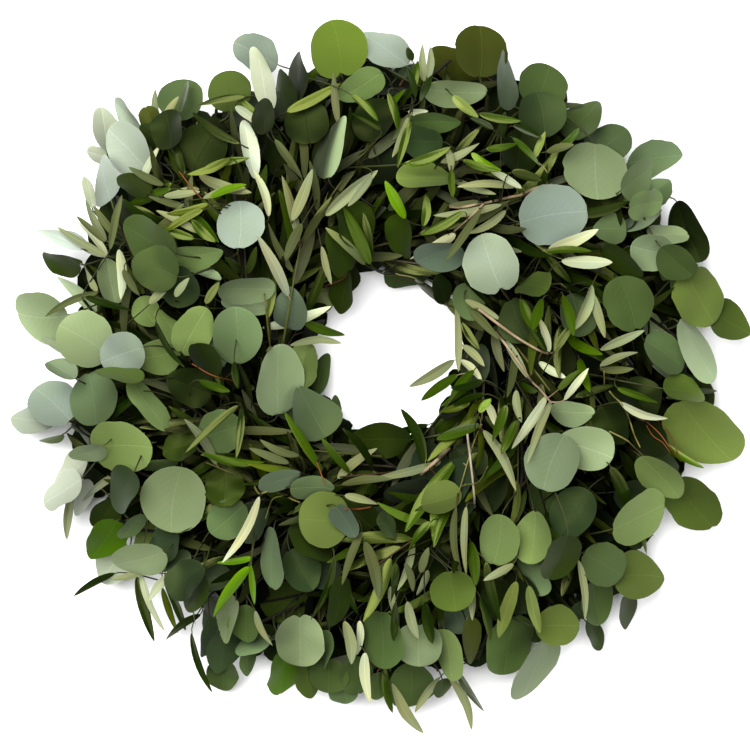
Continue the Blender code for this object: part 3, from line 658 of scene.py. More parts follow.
def bladeShape(leaf, look, rng):
    # What makes one leaf differ from the next; a leaf that is seen from the side lies flatter
    roundness, lean, point, heart, lobes, calm, _ = bladeSorts[leaf.sort]
    slender = (leaf.side.x ** 2 + leaf.side.y ** 2) * calm if leaf.kind == "round" else 1.0
    return {
        "roundness": rng.uniform(*roundness), "lean": rng.uniform(*lean),
        "point": max(0.0, rng.uniform(*point)),
        "lobes": rng.uniform(*bladeChance["lobes"]) * look["lobes"] * lobes,
        "notch": look["notch"] * max(0.0, rng.gauss(*bladeChance["notch"])),
        "heart": max(0.0, rng.uniform(*heart)) if leaf.kind == "round" else 0.0,
        "phase": rng.uniform(0, 6.28), "ripple": rng.uniform(*bladeChance["ripple"]),
        "wave": rng.uniform(*look["wave"]) * slender, "fold": rng.uniform(*look["fold"]) * slender,
        "twist": math.radians(rng.gauss(0, look["twist"])) * calm,
        "bow": rng.uniform(-1, 1) * bladeChance["bow"][leaf.kind],
        "nick": rng.uniform(*bladeChance["nick"]),
        "cup": bladeChance["leastCup"] + (1 - bladeChance["leastCup"]) * calm,
    }


def fineBlade(leaf, look, rng):
    # Corners of the blade and where each one lies on it: across, along and share of the half width
    rows, columns = look["detail"][leaf.grade]
    shape = bladeShape(leaf, look, rng)
    half = leaf.width / 2 * look["slim"]
    base, axis, side, normal = (np.array(item) for item in (leaf.base, leaf.axis, leaf.side, leaf.normal))

    def place(along, share, rise):
        edge = np.sin(shape["ripple"] * 2 * along + shape["phase"] + share * 2) \
            + 0.6 * np.sin(shape["ripple"] * 4.3 * along + shape["phase"] * 2 - share)
        lobe = np.sin(shape["ripple"] * 0.8 * along + shape["phase"] + 2.2 * np.sign(share))
        width = outlineShare(leaf.kind, along, shape) * (1 + shape["nick"] * edge + shape["lobes"] * lobe)
        x = share * width
        lobes = np.abs(share) * (2 - np.abs(share))
        run = along + shape["notch"] * along ** 5 * lobes - shape["heart"] * (1 - along) ** 5 * lobes
        lift = leaf.bend * leaf.length * run ** 2 + leaf.cup * shape["cup"] * half * x ** 2
        lift = lift + shape["fold"] * half * (np.abs(x) ** 1.3 - 0.2 * width)
        wave = np.sin(shape["ripple"] * along + shape["phase"] + np.sign(x))
        lift = lift + shape["wave"] * half * np.abs(x) * wave
        turn = shape["twist"] * (along - 0.35)
        bow = shape["bow"] * leaf.length * np.sin(np.pi * along)
        flat, up = x * half * np.cos(turn) + bow, x * half * np.sin(turn)
        spots.append(base + np.outer(run * leaf.length, axis) + np.outer(flat, side)
                     + np.outer(lift + up + rise, normal))
        marks.append(np.stack([x * half / 0.02, run, np.abs(share)], axis=1))

    alongs = (1 - np.cos(np.pi * np.arange(1, rows) / rows)) / 2
    shares = np.linspace(-1, 1, 2 * columns + 1)
    thick = look["thickness"] / 2
    spots, marks = [], []
    rise = thick * (1 - np.abs(shares) ** 4)
    for along in alongs:
        for row, height in ((shares, rise), (shares[1:-1], -rise[1:-1])):
            place(np.full(len(row), along), row, height)
    for along in (0.0, 1.0):
        place(np.array([along]), np.array([0.0]), np.array([0.0]))
    return np.concatenate(spots), np.concatenate(marks)


def smoothRoute(points, perSpan):
    # A smooth curve through the points
    ends = [points[0] * 2 - points[1]] + list(points) + [points[-1] * 2 - points[-2]]
    route = []
    for index in range(1, len(ends) - 2):
        before, start, end, after = ends[index - 1:index + 3]
        for step in range(perSpan):
            t = step / perSpan
            square = (2 * before - 5 * start + 4 * end - after) * t * t
            cube = (3 * start - before - 3 * end + after) * t ** 3
            route.append(0.5 * (2 * start + (end - before) * t + square + cube))
    route.append(points[-1])
    return route


def bezier(points, steps):
    # A smooth curve from the first point to the last, drawn towards those between
    order = len(points) - 1
    route = []
    for step in range(steps + 1):
        t = step / steps
        spot = Vector((0, 0, 0))
        for item, point in enumerate(points):
            spot += point * (math.comb(order, item) * t ** item * (1 - t) ** (order - item))
        route.append(spot)
    return route


def roundTube(points, radii, sides, closed=False):
    # A round bar along the points, closed on itself or with a cap at each end
    count = len(points)
    spots = []
    up = Vector((0, 0, 1))
    for index, point in enumerate(points):
        before = points[index - 1] if index or closed else point
        after = points[(index + 1) % count] if index + 1 < count or closed else point
        along = (after - before).normalized()
        if abs(along.z) > 0.98:
            up = Vector((1, 0, 0))
        across = along.cross(up).normalized()
        rise = across.cross(along)
        for step in range(sides):
            turn = 2 * math.pi * step / sides
            spots.append(point + (across * math.cos(turn) + rise * math.sin(turn)) * radii[index])
    faces = []
    # How strongly painted shade darkens one half of a blade or the part by its stalk, and how sharply it
    # steps at the midrib
    for index in range(count if closed else count - 1):
        here, ahead = index * sides, (index + 1) % count * sides
        for step in range(sides):
            beside = (step + 1) % sides
            faces.append((here + step, ahead + step, ahead + beside, here + beside))
    if not closed:
        faces.append(tuple(range(sides)))
        # Painted shade on each corner of a leaf: one half is often painted darker, as if shaded across its
        # fold, or the part next to the stalk, as if shaded by the leaves over it
        faces.append(tuple((count - 1) * sides + step for step in reversed(range(sides))))
    return np.array(spots), faces


class PieceMesh:
    # Gathers corners, faces, materials and the leaf marks of one piece

    def __init__(self):
        self.spots, self.marks, self.colours, self.faces, self.slots = [], [], [], [], []
        self.count = 0

    def add(self, spots, faces, slots, marks=None, colour=(1.0, 1.0, 1.0), shade=1.0, paintedShade=1.0):
        self.spots.append(spots)
        self.marks.append(marks if marks is not None else np.zeros((len(spots), 3)))
        self.colours.append(np.tile((*colour, shade), (len(spots), 1)) * np.reshape(paintedShade, (-1, 1)))
        self.faces.extend(tuple(corner + self.count for corner in face) for face in faces)
        self.slots.extend(slots if isinstance(slots, list) else [slots] * len(faces))
        self.count += len(spots)

    def build(self, name, materials):
        spots = np.concatenate(self.spots) + np.array(ringMiddle)
        mesh = bpy.data.meshes.new(name)
        mesh.from_pydata(spots.tolist(), [], self.faces)
        for item in materials:
            mesh.materials.append(item)
        mesh.polygons.foreach_set("material_index", self.slots)
        marks = mesh.attributes.new("leafPlace", "FLOAT_VECTOR", "POINT")
        marks.data.foreach_set("vector", np.concatenate(self.marks).ravel())
        # the tone stored here carries painted shade: darker deep in the foliage, on one half, or by the stalk
        colours = mesh.attributes.new("leafToneAndShade", "FLOAT_COLOR", "POINT")
        colours.data.foreach_set("color", np.concatenate(self.colours).ravel())
        mesh.shade_smooth()
        mesh.set_sharp_from_angle(angle=math.radians(62))
        return addObject(name, mesh)


def addObject(name, data):
    made = bpy.data.objects.new(name, data)
    bpy.context.scene.collection.objects.link(made)
    return made


class Finish:
    # One material's nodes, and short ways to add to them

    def __init__(self, name):
        self.material = bpy.data.materials.new(name)
        self.material.use_nodes = True
        self.tree = self.material.node_tree
        self.sockets = self.tree.nodes["Principled BSDF"].inputs

    def node(self, kind, **values):
        made = self.tree.nodes.new("ShaderNode" + kind)
        for key, value in values.items():
            if key in made.inputs:
                made.inputs[key].default_value = value
            else:
                setattr(made, key, value)
        return made

    def feed(self, socket, value):
        # A plain value is set, and one that comes from another node is linked
        if isinstance(value, bpy.types.NodeSocket):
            self.tree.links.new(value, socket)
        else:
            socket.default_value = (*value, 1.0) if isinstance(value, tuple) else value

    def maths(self, operation, *values, clamp=False):
        made = self.node("Math", operation=operation, use_clamp=clamp)
        for socket, value in zip(made.inputs, values):
            self.feed(socket, value)
        return made.outputs[0]

    def times(self, first, second, clamp=False):
        return self.maths("MULTIPLY", first, second, clamp=clamp)

    def plus(self, first, second):
        return self.maths("ADD", first, second)

    def minus(self, first, second, clamp=False):
        return self.maths("SUBTRACT", first, second, clamp=clamp)

    def blend(self, share, first, second, kind="MIX"):
        made = self.node("Mix", data_type="RGBA", blend_type=kind)
        for item, value in ((0, share), (6, first), (7, second)):
            self.feed(made.inputs[item], value)
        return made.outputs[2]

    def tinted(self, colour, tint):
        return self.blend(1.0, colour, tint, "MULTIPLY")

    def noise(self, scale, detail=2.0):
        made = self.node("TexNoise", Scale=scale, Detail=detail)
        self.feed(made.inputs["Vector"], self.node("TexCoord").outputs["Object"])
        return made.outputs[0]

    def fromMesh(self, name):
        return self.node("Attribute", attribute_name=name).outputs

    def bump(self, height, strength, distance):
        made = self.node("Bump", Strength=strength, Distance=distance)
        self.feed(made.inputs["Height"], height)
        self.feed(self.sockets["Normal"], made.outputs[0])


leafFinish = {
    "grain": 900.0, "veinFrom": 0.88, "veinSteep": 8.0, "cloudFrom": 0.34, "cloudSteep": 3.2,
    "rimWidth": 0.07, "tipShade": 1.06, "roughSpread": 0.3, "sheenRough": 0.5, "bumpDepth": 0.0006,
    # how high the midrib, a side vein, the grain and the clouding stand
    "upperHeights": (-0.8, -0.3, 0.12, 0.6), "underHeights": (1.0, 0.35, 0.12, 0.6),
}


def leafMaterial(name, look, side):
    # A leaf face: its tone with the painted shade its mesh carries, clouding, midrib, side veins, a paler
    # rim, and painted shade towards the stalk
    under, plan = side == "Under", leafFinish
    leaf = Finish(name + side)
    tone = leaf.fromMesh("leafToneAndShade")
    split = leaf.node("SeparateXYZ")
    leaf.feed(split.inputs[0], leaf.fromMesh("leafPlace")["Vector"])
    x, along, edge = split.outputs
    grain, clouding = leaf.noise(plan["grain"]), leaf.noise(look["cloudScale"])
    away = leaf.maths("ABSOLUTE", x)
    midrib = leaf.minus(1.0, leaf.times(away, look["midribSharp"]), True)
    run = leaf.minus(along, leaf.times(away, look["veinSlant"]))
    run = leaf.plus(run, leaf.times(clouding, look["veinWander"]))
    wave = leaf.maths("SINE", leaf.times(run, look["sideVeins"] * 2 * math.pi))
    vein = leaf.times(leaf.minus(wave, plan["veinFrom"], True), plan["veinSteep"], True)
    vein = leaf.times(vein, leaf.minus(1.0, edge, True))
    colour = tone["Color"]
    if under:
        pale = leaf.tinted(linear(look["underTone"]), tone["Alpha"])
        colour = leaf.blend(look["underMix"], colour, pale)
    cloud = leaf.times(leaf.minus(clouding, plan["cloudFrom"], True), plan["cloudSteep"], True)
    colour = leaf.blend(cloud, leaf.tinted(colour, look["warm"]), leaf.tinted(colour, look["cool"]))
    pale = leaf.tinted(colour, look["veinLift"])
    rim = leaf.minus(edge, 1 - plan["rimWidth"], True)
    for part, share in ((vein, "veinPale"), (midrib, "midribPale")):
        colour = leaf.blend(leaf.times(part, look[share]), colour, pale)
    colour = leaf.blend(leaf.times(rim, look["rim"] / plan["rimWidth"], True), colour, pale)
    # painted shade: the blade is darker towards its stalk, as if shaded by the leaves over it
    paintedShadeAlong = leaf.plus(look["baseShade"], leaf.times(along, plan["tipShade"] - look["baseShade"]))
    leaf.feed(leaf.sockets["Base Color"], leaf.tinted(colour, paintedShadeAlong))
    uneven = leaf.times(leaf.minus(clouding, 0.5), plan["roughSpread"])
    leaf.feed(leaf.sockets["Roughness"], leaf.plus(look["underRough" if under else "roughness"], uneven))
    heights = plan["underHeights" if under else "upperHeights"]
    height = leaf.times(midrib, heights[0])
    for part, share in zip((vein, grain, clouding), heights[1:]):
        height = leaf.plus(height, leaf.times(part, share))
    leaf.bump(height, look["bump"], plan["bumpDepth"])
    # the copy for leaves deep in shade has its gloss dimmed and its sheen taken away, as painted shade
    level = look["underSpecular" if under else "specular"]
    level *= look["shadedGloss"] if side == "ShadedDull" else 1.0
    leaf.sockets["Specular IOR Level"].default_value = level
    leaf.sockets["Specular Tint"].default_value = (*look["glare"], 1.0)
    leaf.sockets["Sheen Weight"].default_value = 0.0 if side == "ShadedDull" else look["bloom"]
    leaf.sockets["Sheen Roughness"].default_value = plan["sheenRough"]
    return leaf.material


barkLook = {
    "roundBark": {"tone": (118, 92, 56), "dark": (70, 58, 34), "scale": 70, "rough": 0.75},
    "oliveBark": {"tone": (124, 112, 82), "dark": (70, 66, 44), "scale": 70, "rough": 0.75},
    "galvanised": {"tone": (150, 152, 148), "dark": (96, 98, 94), "scale": 160, "rough": 0.42, "metal": 0.9,
                   "bump": 0.15},
    "greenEnamel": {"tone": (58, 84, 44), "dark": (34, 52, 28), "scale": 160, "rough": 0.45, "metal": 0.2,
                    "bump": 0.15},
    # a twig's tone, with its painted shade, comes from its mesh, and is only darkened here in uneven patches
    "twig": {"shares": ((1.0, 1.0, 1.0), (0.62, 0.56, 0.48)), "scale": 90, "rough": 0.6, "bump": 0.25},
    "grain": 6, "patchFrom": 0.38, "patchSteep": 3.0, "roughSpread": 0.2, "bumpDepth": 0.0004,
    "gloss": {"wood": 0.14, "metal": 0.5},
}


def barkMaterial(name, sort):
    # A stem, twig, petiole or wire: its colour broken up along its length
    look, plan = barkLook[sort], barkLook
    bark = Finish(name)
    patches, grain = bark.noise(look["scale"], 4.0), bark.noise(look["scale"] * plan["grain"])
    share = bark.times(bark.minus(patches, plan["patchFrom"], True), plan["patchSteep"], True)
    colour, dark = look["shares"] if "shares" in look else (linear(look["tone"]), linear(look["dark"]))
    # the tone from the mesh carries the painted shade of stems, stalks and twigs deep in the foliage
    tone = bark.tinted(bark.blend(share, dark, colour), bark.fromMesh("leafToneAndShade")["Color"])
    bark.feed(bark.sockets["Base Color"], tone)
    spread = plan["roughSpread"]
    bark.feed(bark.sockets["Roughness"], bark.plus(look["rough"] - spread / 2, bark.times(grain, spread)))
    bark.bump(grain, look.get("bump", 0.4), plan["bumpDepth"])
    bark.sockets["Metallic"].default_value = look.get("metal", 0.0)
    bark.sockets["Specular IOR Level"].default_value = plan["gloss"]["metal" if "metal" in look else "wood"]
    return bark.material


twigTones = {
    "beige": (214, 192, 154), "straw": (176, 172, 92), "rust": (176, 104, 52), "moss": (122, 134, 62),
    "brown": (126, 96, 62), "white": (226, 216, 190),
}
commonTwigs = {
    "olive": ("beige", "straw", "moss", "brown"), "round": ("straw", "moss", "moss", "moss", "rust"),
}
sideTones = {  # which tones are common on each side of the wreath, by the angle seen from its middle
    "round": ((330, "gcfdon"), (60, "fdecn"), (115, "scmde"), (150, "lsmcf"), (215, "scgeh"),
              (260, "cefdo")),
    "olive": ((330, "dgkprgodgp"), (60, "dgkdrgdvrp"), (115, "dgkrmgoprw"), (215, "dkgmrgdpmd"),
              (260, "dgkmgrvdop")),
}


def toneFor(kind, spot, rng):
    angle = fromMiddle(spot)[1] % 360
    options = sideTones[kind][0][1]
    for start, letters in sideTones[kind][1:]:
        if angle >= start:
            options = letters
    return rng.choice(options)


flow = {"from": 0.06, "over": 0.08, "lean": 58, "holeLean": -25, "spread": 26}


def flowHeading(radius, angle, rng):
    # The leaves run clockwise and lean outward, less so beside the hole
    share = clamped((radius - flow["from"]) / flow["over"])
    lean = flow["lean"] * share + flow["holeLean"] * (1 - share)
    return angle - 90 + lean + rng.gauss(0, flow["spread"])


outline = {  # how far out and how near the middle the foliage reaches, by the angle seen from its middle
    "rim": ((0, 0.246), (12, 0.254), (22, 0.246), (32, 0.244), (45, 0.246), (60, 0.248), (72, 0.24),
            (85, 0.232), (95, 0.234), (106, 0.228), (120, 0.238), (132, 0.25), (142, 0.26), (160, 0.25),
            (170, 0.268), (180, 0.244), (190, 0.258), (210, 0.252), (220, 0.238), (231, 0.226), (241, 0.252),
            (270, 0.25), (291, 0.246), (300, 0.252), (321, 0.252), (331, 0.24), (341, 0.256), (350, 0.262),
            (360, 0.246)),
    "hole": ((0, 0.051), (25, 0.06), (48, 0.072), (90, 0.069), (118, 0.07), (150, 0.05), (180, 0.043),
             (225, 0.047), (255, 0.055), (285, 0.056), (330, 0.048), (360, 0.051)),
}


def outlineAt(name, angle):
    return float(np.interp(angle % 360, *zip(*outline[name])))


def withinRing(spot, inside=0.0, outside=0.0):
    # Whether a spot lies between the hole and the rim
    reach, angle = fromMiddle(spot)
    return outlineAt("hole", angle) + inside < reach < outlineAt("rim", angle) - outside


# Foliage that the picture shows only as depth: leaves by the same rule, under and between the shown ones
filling = {
    "tries": {"round": 3600, "olive": 2600},
    "common": {"round": ((0.1, 0.15), (0.35, 1.0)), "olive": ((0.15, 0.21), (1.0, 0.25))},  # by radius
    "length": {"round": (0.028, 0.046), "olive": (0.036, 0.062)},
    "roundShares": (0.95, 0.9, 0.85, 0.8, 0.6, 0.45), "oliveWidth": (0.0065, 0.0105),
    "fromMiddle": 0.066, "fromRim": 0.012, "drops": (0.004, 0.055), "fullDropAt": 0.06,
    "lowerBy": (0.0, 0.007, 0.014), "lowest": 0.006, "mostHeight": 0.108,
    "pitch": 17, "roll": 26, "clearance": 0.0012,
    # how much of a shown leaf stays in view, where a new leaf is tested, and how far it counts
    "keepClear": 0.75, "testedAt": (0.1, 0.4, 0.7, 0.95), "overBy": 0.003, "ownReach": 0.4,
}


class ShownLeaves:
    # Where the leaves read off the picture lie, so that the others leave them in view

    def __init__(self, stems):
        leaves = [leaf for stem in stems for leaf in stem.leaves if leaf.tone]
        self.middles = np.array([leaf.point(0.5, 0) for leaf in leaves])
        self.reach = np.array([min(leaf.width, leaf.length) / 2 * filling["keepClear"] for leaf in leaves])

    def hiddenBy(self, leaf):
        for along in filling["testedAt"]:
            spot = np.array(leaf.point(along, 0))
            distance = np.hypot(*(self.middles[:, :2] - spot[:2]).T)
            over = spot[2] > self.middles[:, 2] - filling["overBy"]
            if np.any(over & (distance < self.reach + leaf.width * filling["ownReach"])):
                return True
        return False


def tossed(leaf, rng):
    # The same leaf at an angle of its own, turned about its middle
    middle = leaf.point(0.5, 0)
    pitch = Matrix.Rotation(math.radians(rng.gauss(0, filling["pitch"])), 3, leaf.side)
    roll = Matrix.Rotation(math.radians(rng.gauss(0, filling["roll"])), 3, leaf.axis)
    leaf.axis, leaf.normal = pitch @ leaf.axis, pitch @ (roll @ leaf.normal)
    leaf.side = leaf.axis.cross(leaf.normal)
    leaf.base = middle - leaf.axis * leaf.length / 2
    return leaf


def leavesHeights(body):
    # Whether a blade reaches below the back of the wreath or above its crest
    heights = [corner.z for corner in body[0]]
    return min(heights) < crown["leastHeight"] or max(heights) > filling["mostHeight"]


def settle(leaf, holds, blades):
    # Give a filling leaf the nearest foothold, where its blade is free
    body = leaf.blade(filling["clearance"])
    if leavesHeights(body) or blades.touches(body):
        return False
    found = holds.nearest(leaf, 1)
    if not found:
        return False
    leaf.root, stem = found[0]
    stem.leaves.append(leaf)
    blades.add(leaf.blade(), "leaf")
    return True


def layOver(kind, base, tip, width, holds, blades, rng):
    # A leaf that the picture shows over thin stalks: as near the top of the foliage as its blade is free
    top = crownHeight(((base + tip) / 2).length)
    height = top + fallUnderCrown["step"] * 3
    while height > fallUnderCrown["lowest"]:
        for _ in range(fallUnderCrown["tilts"]):
            leaf = posedLeaf(kind, base, tip, width, height, kind, rng)
            if settle(leaf, holds, blades):
                return leaf
        height -= fallUnderCrown["step"]
    return None


def addFilling(kind, shown, holds, blades, rng):
    grown = 0
    for _ in range(filling["tries"][kind]):
        angle = rng.uniform(0, 360)
        edge = outlineAt("rim", angle) - filling["fromRim"]
        radius = math.sqrt(rng.uniform(filling["fromMiddle"] ** 2, edge ** 2))
        heading = flowHeading(radius, angle, rng)
        if rng.random() > np.interp(radius, *filling["common"][kind]):
            continue
        length = rng.uniform(*filling["length"][kind])
        if kind == "round":
            width = length * rng.choice(filling["roundShares"])
        else:
            width = rng.uniform(*filling["oliveWidth"])
        middle = polar(radius, angle, 0)
        along = polar(length / 2, heading, 0)
        tip, base = middle + along, middle - along
        if not withinRing(tip):
            continue
        drop = rng.uniform(*filling["drops"])
        height = crownHeight(radius) - drop * min(1.0, crownHeight(radius) / filling["fullDropAt"])
        for lower in filling["lowerBy"]:
            if height - lower < filling["lowest"]:
                break
            leaf = tossed(posedLeaf(kind, base, tip, width, height - lower, kind, rng), rng)
            if not shown.hiddenBy(leaf) and settle(leaf, holds, blades):
                leaf.tone = toneFor(kind, middle, rng)
                grown += 1
                break
    return grown


class Twig:
    # A side twig: its route, half its thickness along it and its tone

    def __init__(self, route, halves, tone, bare=False):
        self.route, self.halves, self.tone, self.bare = route, halves, tone, bare
        self.body = squareTube(route, halves)
        steps = [(end - start).length for start, end in zip(route, route[1:])]
        self.marks = np.concatenate([[0.0], np.cumsum(steps)])

    def at(self, distance):
        # The middle line and its direction, so far from the root
        item = min(len(self.route) - 2, max(0, int(np.searchsorted(self.marks, distance)) - 1))
        start, end = self.route[item], self.route[item + 1]
        share = (distance - self.marks[item]) / (self.marks[item + 1] - self.marks[item])
        return start.lerp(end, share), (end - start).normalized()


twigRule = {
    "olive": {
        "tries": 7000, "most": 190, "common": ((0.14, 0.2), (1.0, 0.15)), "length": (0.045, 0.1),
        "thick": (0.001, 0.0005), "drops": (0.0, 0.045), "spacing": 0.0105, "leafy": 0.68,
        "spread": (30, 50), "stalk": 0.003, "leafLength": (0.036, 0.06), "widthShare": (0.15, 0.2),
        "least": 4, "leafTries": 3, "beyond": 0.022, "bend": (-0.14, 0.08), "cup": (-0.3, -0.05),
    },
    "round": {
        "tries": 7000, "most": 80, "common": ((0.11, 0.16), (0.15, 1.0)), "length": (0.04, 0.08),
        "thick": (0.0011, 0.0007), "drops": (0.004, 0.05), "spacing": 0.013, "leafy": 0.85,
        "spread": (40, 80), "stalk": 0.011, "leafLength": (0.028, 0.046), "widthShare": (0.7, 1.02),
        "least": 2, "leafTries": 4, "beyond": 0.026, "bend": (-0.1, 0.06), "cup": (-0.1, 0.22),
    },
}
# What both kinds of twig share: where they may end, how they arch, and how their leaves differ
twigShape = {
    "fromHole": 0.006, "clearOfHole": 0.004, "lowest": 0.01, "archAt": 0.42, "archRise": 0.9, "steps": 7,
    "tipSpread": 0.55, "turnSpread": 22, "sameTone": 0.7, "gaps": (0.8, 1.25), "stalks": (0.8, 1.3),
    "faceAlong": 0.35, "faceToss": 0.45, "faceUp": 0.3,
}


def twigLeaf(kind, rule, spot, along, turn, spread, rng):
    # A leaf on a twig: olive leaves keep its line, and round ones hang more loosely
    across = along.cross(Vector((0, 0, 1))).normalized()
    rise = across.cross(along)
    aside = across * math.cos(turn) + rise * math.sin(turn)
    axis = (along * math.cos(spread) + aside * math.sin(spread)).normalized()
    base = spot + axis * (rule["stalk"] * rng.uniform(*twigShape["stalks"]))
    if kind == "round":
        axis = (axis + Vector((rng.gauss(0, 0.25), rng.gauss(0, 0.25), rng.gauss(-0.15, 0.2)))).normalized()
    toss = twigShape["faceToss"]
    facing = Vector((rng.gauss(0, toss), rng.gauss(0, toss), twigShape["faceUp"]))
    normal = squareTo(rise + along * twigShape["faceAlong"] + facing, axis)
    length = rng.uniform(*rule["leafLength"])
    width = length * rng.uniform(*rule["widthShare"])
    bend, cup = rng.uniform(*rule["bend"]), rng.uniform(*rule["cup"])
    return Leaf(kind, base, axis, normal, length, width, bend, cup, kind, spot)


def growTwig(kind, holds, shown, blades, rng):
    # A side twig that arches out from a stem with its leaves, or none where it finds no room
    rule, shape = twigRule[kind], twigShape
    item = rng.randrange(len(holds.stems))
    root, stem = Vector(holds.points[item]), holds.stems[item]
    heading = flowHeading(*fromMiddle(root), rng)
    end = Vector((root.x, root.y, 0)) + polar(rng.uniform(*rule["length"]), heading, 0)
    reach = end.length
    if not withinRing(end, shape["fromHole"], rule["beyond"]):
        return 0
    if rng.random() > np.interp(reach, *rule["common"]):
        return 0
    end.z = max(shape["lowest"], crownHeight(reach) - rng.uniform(*rule["drops"]))
    bend = root.lerp(end, shape["archAt"])
    bend.z = root.z + (end.z - root.z) * shape["archRise"]
    route = bezier([root, bend, end], shape["steps"])
    thick, thin = rule["thick"]
    halves = [thick + (thin - thick) * step / (len(route) - 1) for step in range(len(route))]
    twig = Twig(route, halves, rng.choice(commonTwigs[kind]))
    clear = all(spot.z > crown["leastHeight"] and withinRing(spot, shape["clearOfHole"]) for spot in route)
    if not clear or blades.touches(twig.body, passed=stem):
        return 0
    before = len(blades.trees)
    blades.add(twig.body, twig)
    leaves = []
    common = toneFor(kind, end, rng)
    gone, pair = 0.0, rng.randrange(2)
    total = twig.marks[-1]
    while gone < total * rule["leafy"]:
        spot, along = twig.at(total - gone)
        spread = math.radians(rng.uniform(*rule["spread"])) * (shape["tipSpread"] if gone == 0 else 1.0)
        turn = math.radians(90 * pair + rng.uniform(-shape["turnSpread"], shape["turnSpread"]))
        sides = (0, math.pi) if kind == "olive" or gone == 0 else (rng.choice((0, math.pi)),)
        for side in sides:
            for _ in range(rule["leafTries"]):
                leaf = twigLeaf(kind, rule, spot, along, turn + side, spread, rng)
                body = leaf.blade(bladeSolid["clearance"])
                if leavesHeights(body) or not withinRing(leaf.point(1, 0)):
                    continue
                if not shown.hiddenBy(leaf) and not blades.touches(body, passed=twig):
                    leaf.tone = common if rng.random() < shape["sameTone"] else toneFor(kind, end, rng)
                    leaf.onTwig = True
                    leaves.append(leaf)
                    blades.add(leaf.blade(), "leaf")
                    break
        gone += rule["spacing"] * rng.uniform(*shape["gaps"])
        pair = 1 - pair
    if len(leaves) < rule["least"]:
        del blades.trees[before:], blades.owners[before:]
        blades.lows, blades.highs = blades.lows[:before], blades.highs[:before]
        return 0
    stem.twigs.append(twig)
    stem.leaves.extend(leaves)
    return len(leaves)


def addTwigs(kind, holds, shown, blades, rng):
    grown, leaves = 0, 0
    for _ in range(twigRule[kind]["tries"]):
        count = growTwig(kind, holds, shown, blades, rng)
        grown += count > 0
        leaves += count
        if grown == twigRule[kind]["most"]:
            break
    print(kind, "twigs:", grown, "with leaves:", leaves)


# Twigs that lie bare over the leaves: kind, tone, radius at each end in mm, and pixels along them
shownTwigs = (
    ("olive", "beige", 1.3, 0.8,
     ((551, 186), (534, 190), (520, 196), (504, 199), (481, 205), (461, 209), (449, 208))),
    ("olive", "beige", 0.8, 0.5, ((482, 206), (469, 219), (454, 232), (447, 236))),
    ("olive", "straw", 0.6, 0.4, ((545, 186), (546, 176), (541, 168))),
    ("olive", "beige", 1.2, 0.8, ((478, 309), (500, 326), (520, 340), (541, 352), (554, 353))),
    ("olive", "beige", 1.0, 0.7, ((496, 332), (512, 354), (528, 377), (539, 390), (549, 402))),
    ("olive", "straw", 0.6, 0.5, ((602, 370), (604, 384))),
    ("round", "straw", 0.7, 0.5, ((609, 391), (618, 403), (626, 413), (631, 430), (639, 447))),
    ("round", "straw", 0.7, 0.5, ((608, 431), (627, 441), (645, 457))),
    ("olive", "beige", 1.5, 1.4, ((450, 448), (436, 461), (421, 474))),
    ("olive", "straw", 0.6, 0.4, ((481, 425), (469, 454), (460, 484), (457, 492))),
    ("olive", "white", 0.9, 0.8, ((467, 434), (469, 457), (471, 477), (474, 507))),
    ("olive", "moss", 0.5, 0.4, ((487, 466), (477, 480), (464, 483))),
    ("olive", "straw", 0.9, 0.7, ((255, 486), (260, 493), (270, 490), (283, 495), (300, 502))),
    ("olive", "moss", 0.5, 0.5, ((283, 495), (273, 499), (266, 518))),
    ("olive", "rust", 0.5, 0.4, ((317, 461), (321, 471), (326, 484))),
    ("round", "rust", 0.8, 0.7, ((345, 507), (358, 508), (371, 506))),
    ("round", "rust", 0.5, 0.4, ((180, 172), (192, 188), (203, 200))),
    ("round", "rust", 0.5, 0.4, ((195, 364), (214, 375), (235, 381))),
    ("round", "rust", 0.45, 0.35, ((638, 418), (648, 423), (660, 434), (671, 449), (683, 462))),
    ("round", "rust", 0.4, 0.3, ((640, 414), (655, 419), (668, 430), (676, 444), (680, 458))),
    ("round", "rust", 0.4, 0.3, ((646, 425), (653, 436), (663, 443), (672, 456))),
)
overLeaves = {
    "lift": 0.0016, "smooth": 5, "perSpan": 6, "mostUnder": 0.035, "leafReach": 0.01, "leafRise": 0.022,
}


def topAt(spot, room, among=None):
    # How high the topmost leaf or stem is at this place, among all or the first ones
    place = np.array(spot[:2])
    near = np.all((room.lows[:among, :2] <= place) & (room.highs[:among, :2] >= place), axis=1)
    top, above = 0.0, Vector((spot.x, spot.y, 0.2))
    for item in np.nonzero(near)[0]:
        hit = room.trees[item].ray_cast(above, Vector((0, 0, -1)))[0]
        if hit:
            top = max(top, hit.z)
    return top


def layShownTwigs(stems, room):
    for kind, tone, first, last, pixels in shownTwigs:
        flat = smoothRoute([atPixel(*pixel) for pixel in pixels], overLeaves["perSpan"])
        heights = np.array([topAt(spot, room) for spot in flat])
        heights = np.maximum(heights, np.maximum(np.append(heights[1:], 0), np.append(0, heights[:-1])))
        heights = np.maximum(heights, crownHeight(flat[len(flat) // 2].length) - overLeaves["mostUnder"])
        for _ in range(overLeaves["smooth"]):
            padded = np.concatenate([heights[:1], heights, heights[-1:]])
            heights = np.maximum(heights, (padded[:-2] + padded[1:-1] + padded[2:]) / 3)
        halves = np.linspace(first, last, len(flat)) / 1000
        route = [Vector((spot.x, spot.y, height + half + overLeaves["lift"]))
                 for spot, height, half in zip(flat, heights, halves)]
        twig = Twig(route, list(halves), tone, bare=True)
        own = [stem for stem in stems if stem.kind == kind]
        stem = min(own, key=lambda one: min((spot - route[0]).length for spot in one.route[2:]))
        stem.twigs.append(twig)
        room.add(twig.body, twig)
        if kind == "olive":
            rootOnTwig(twig, own)


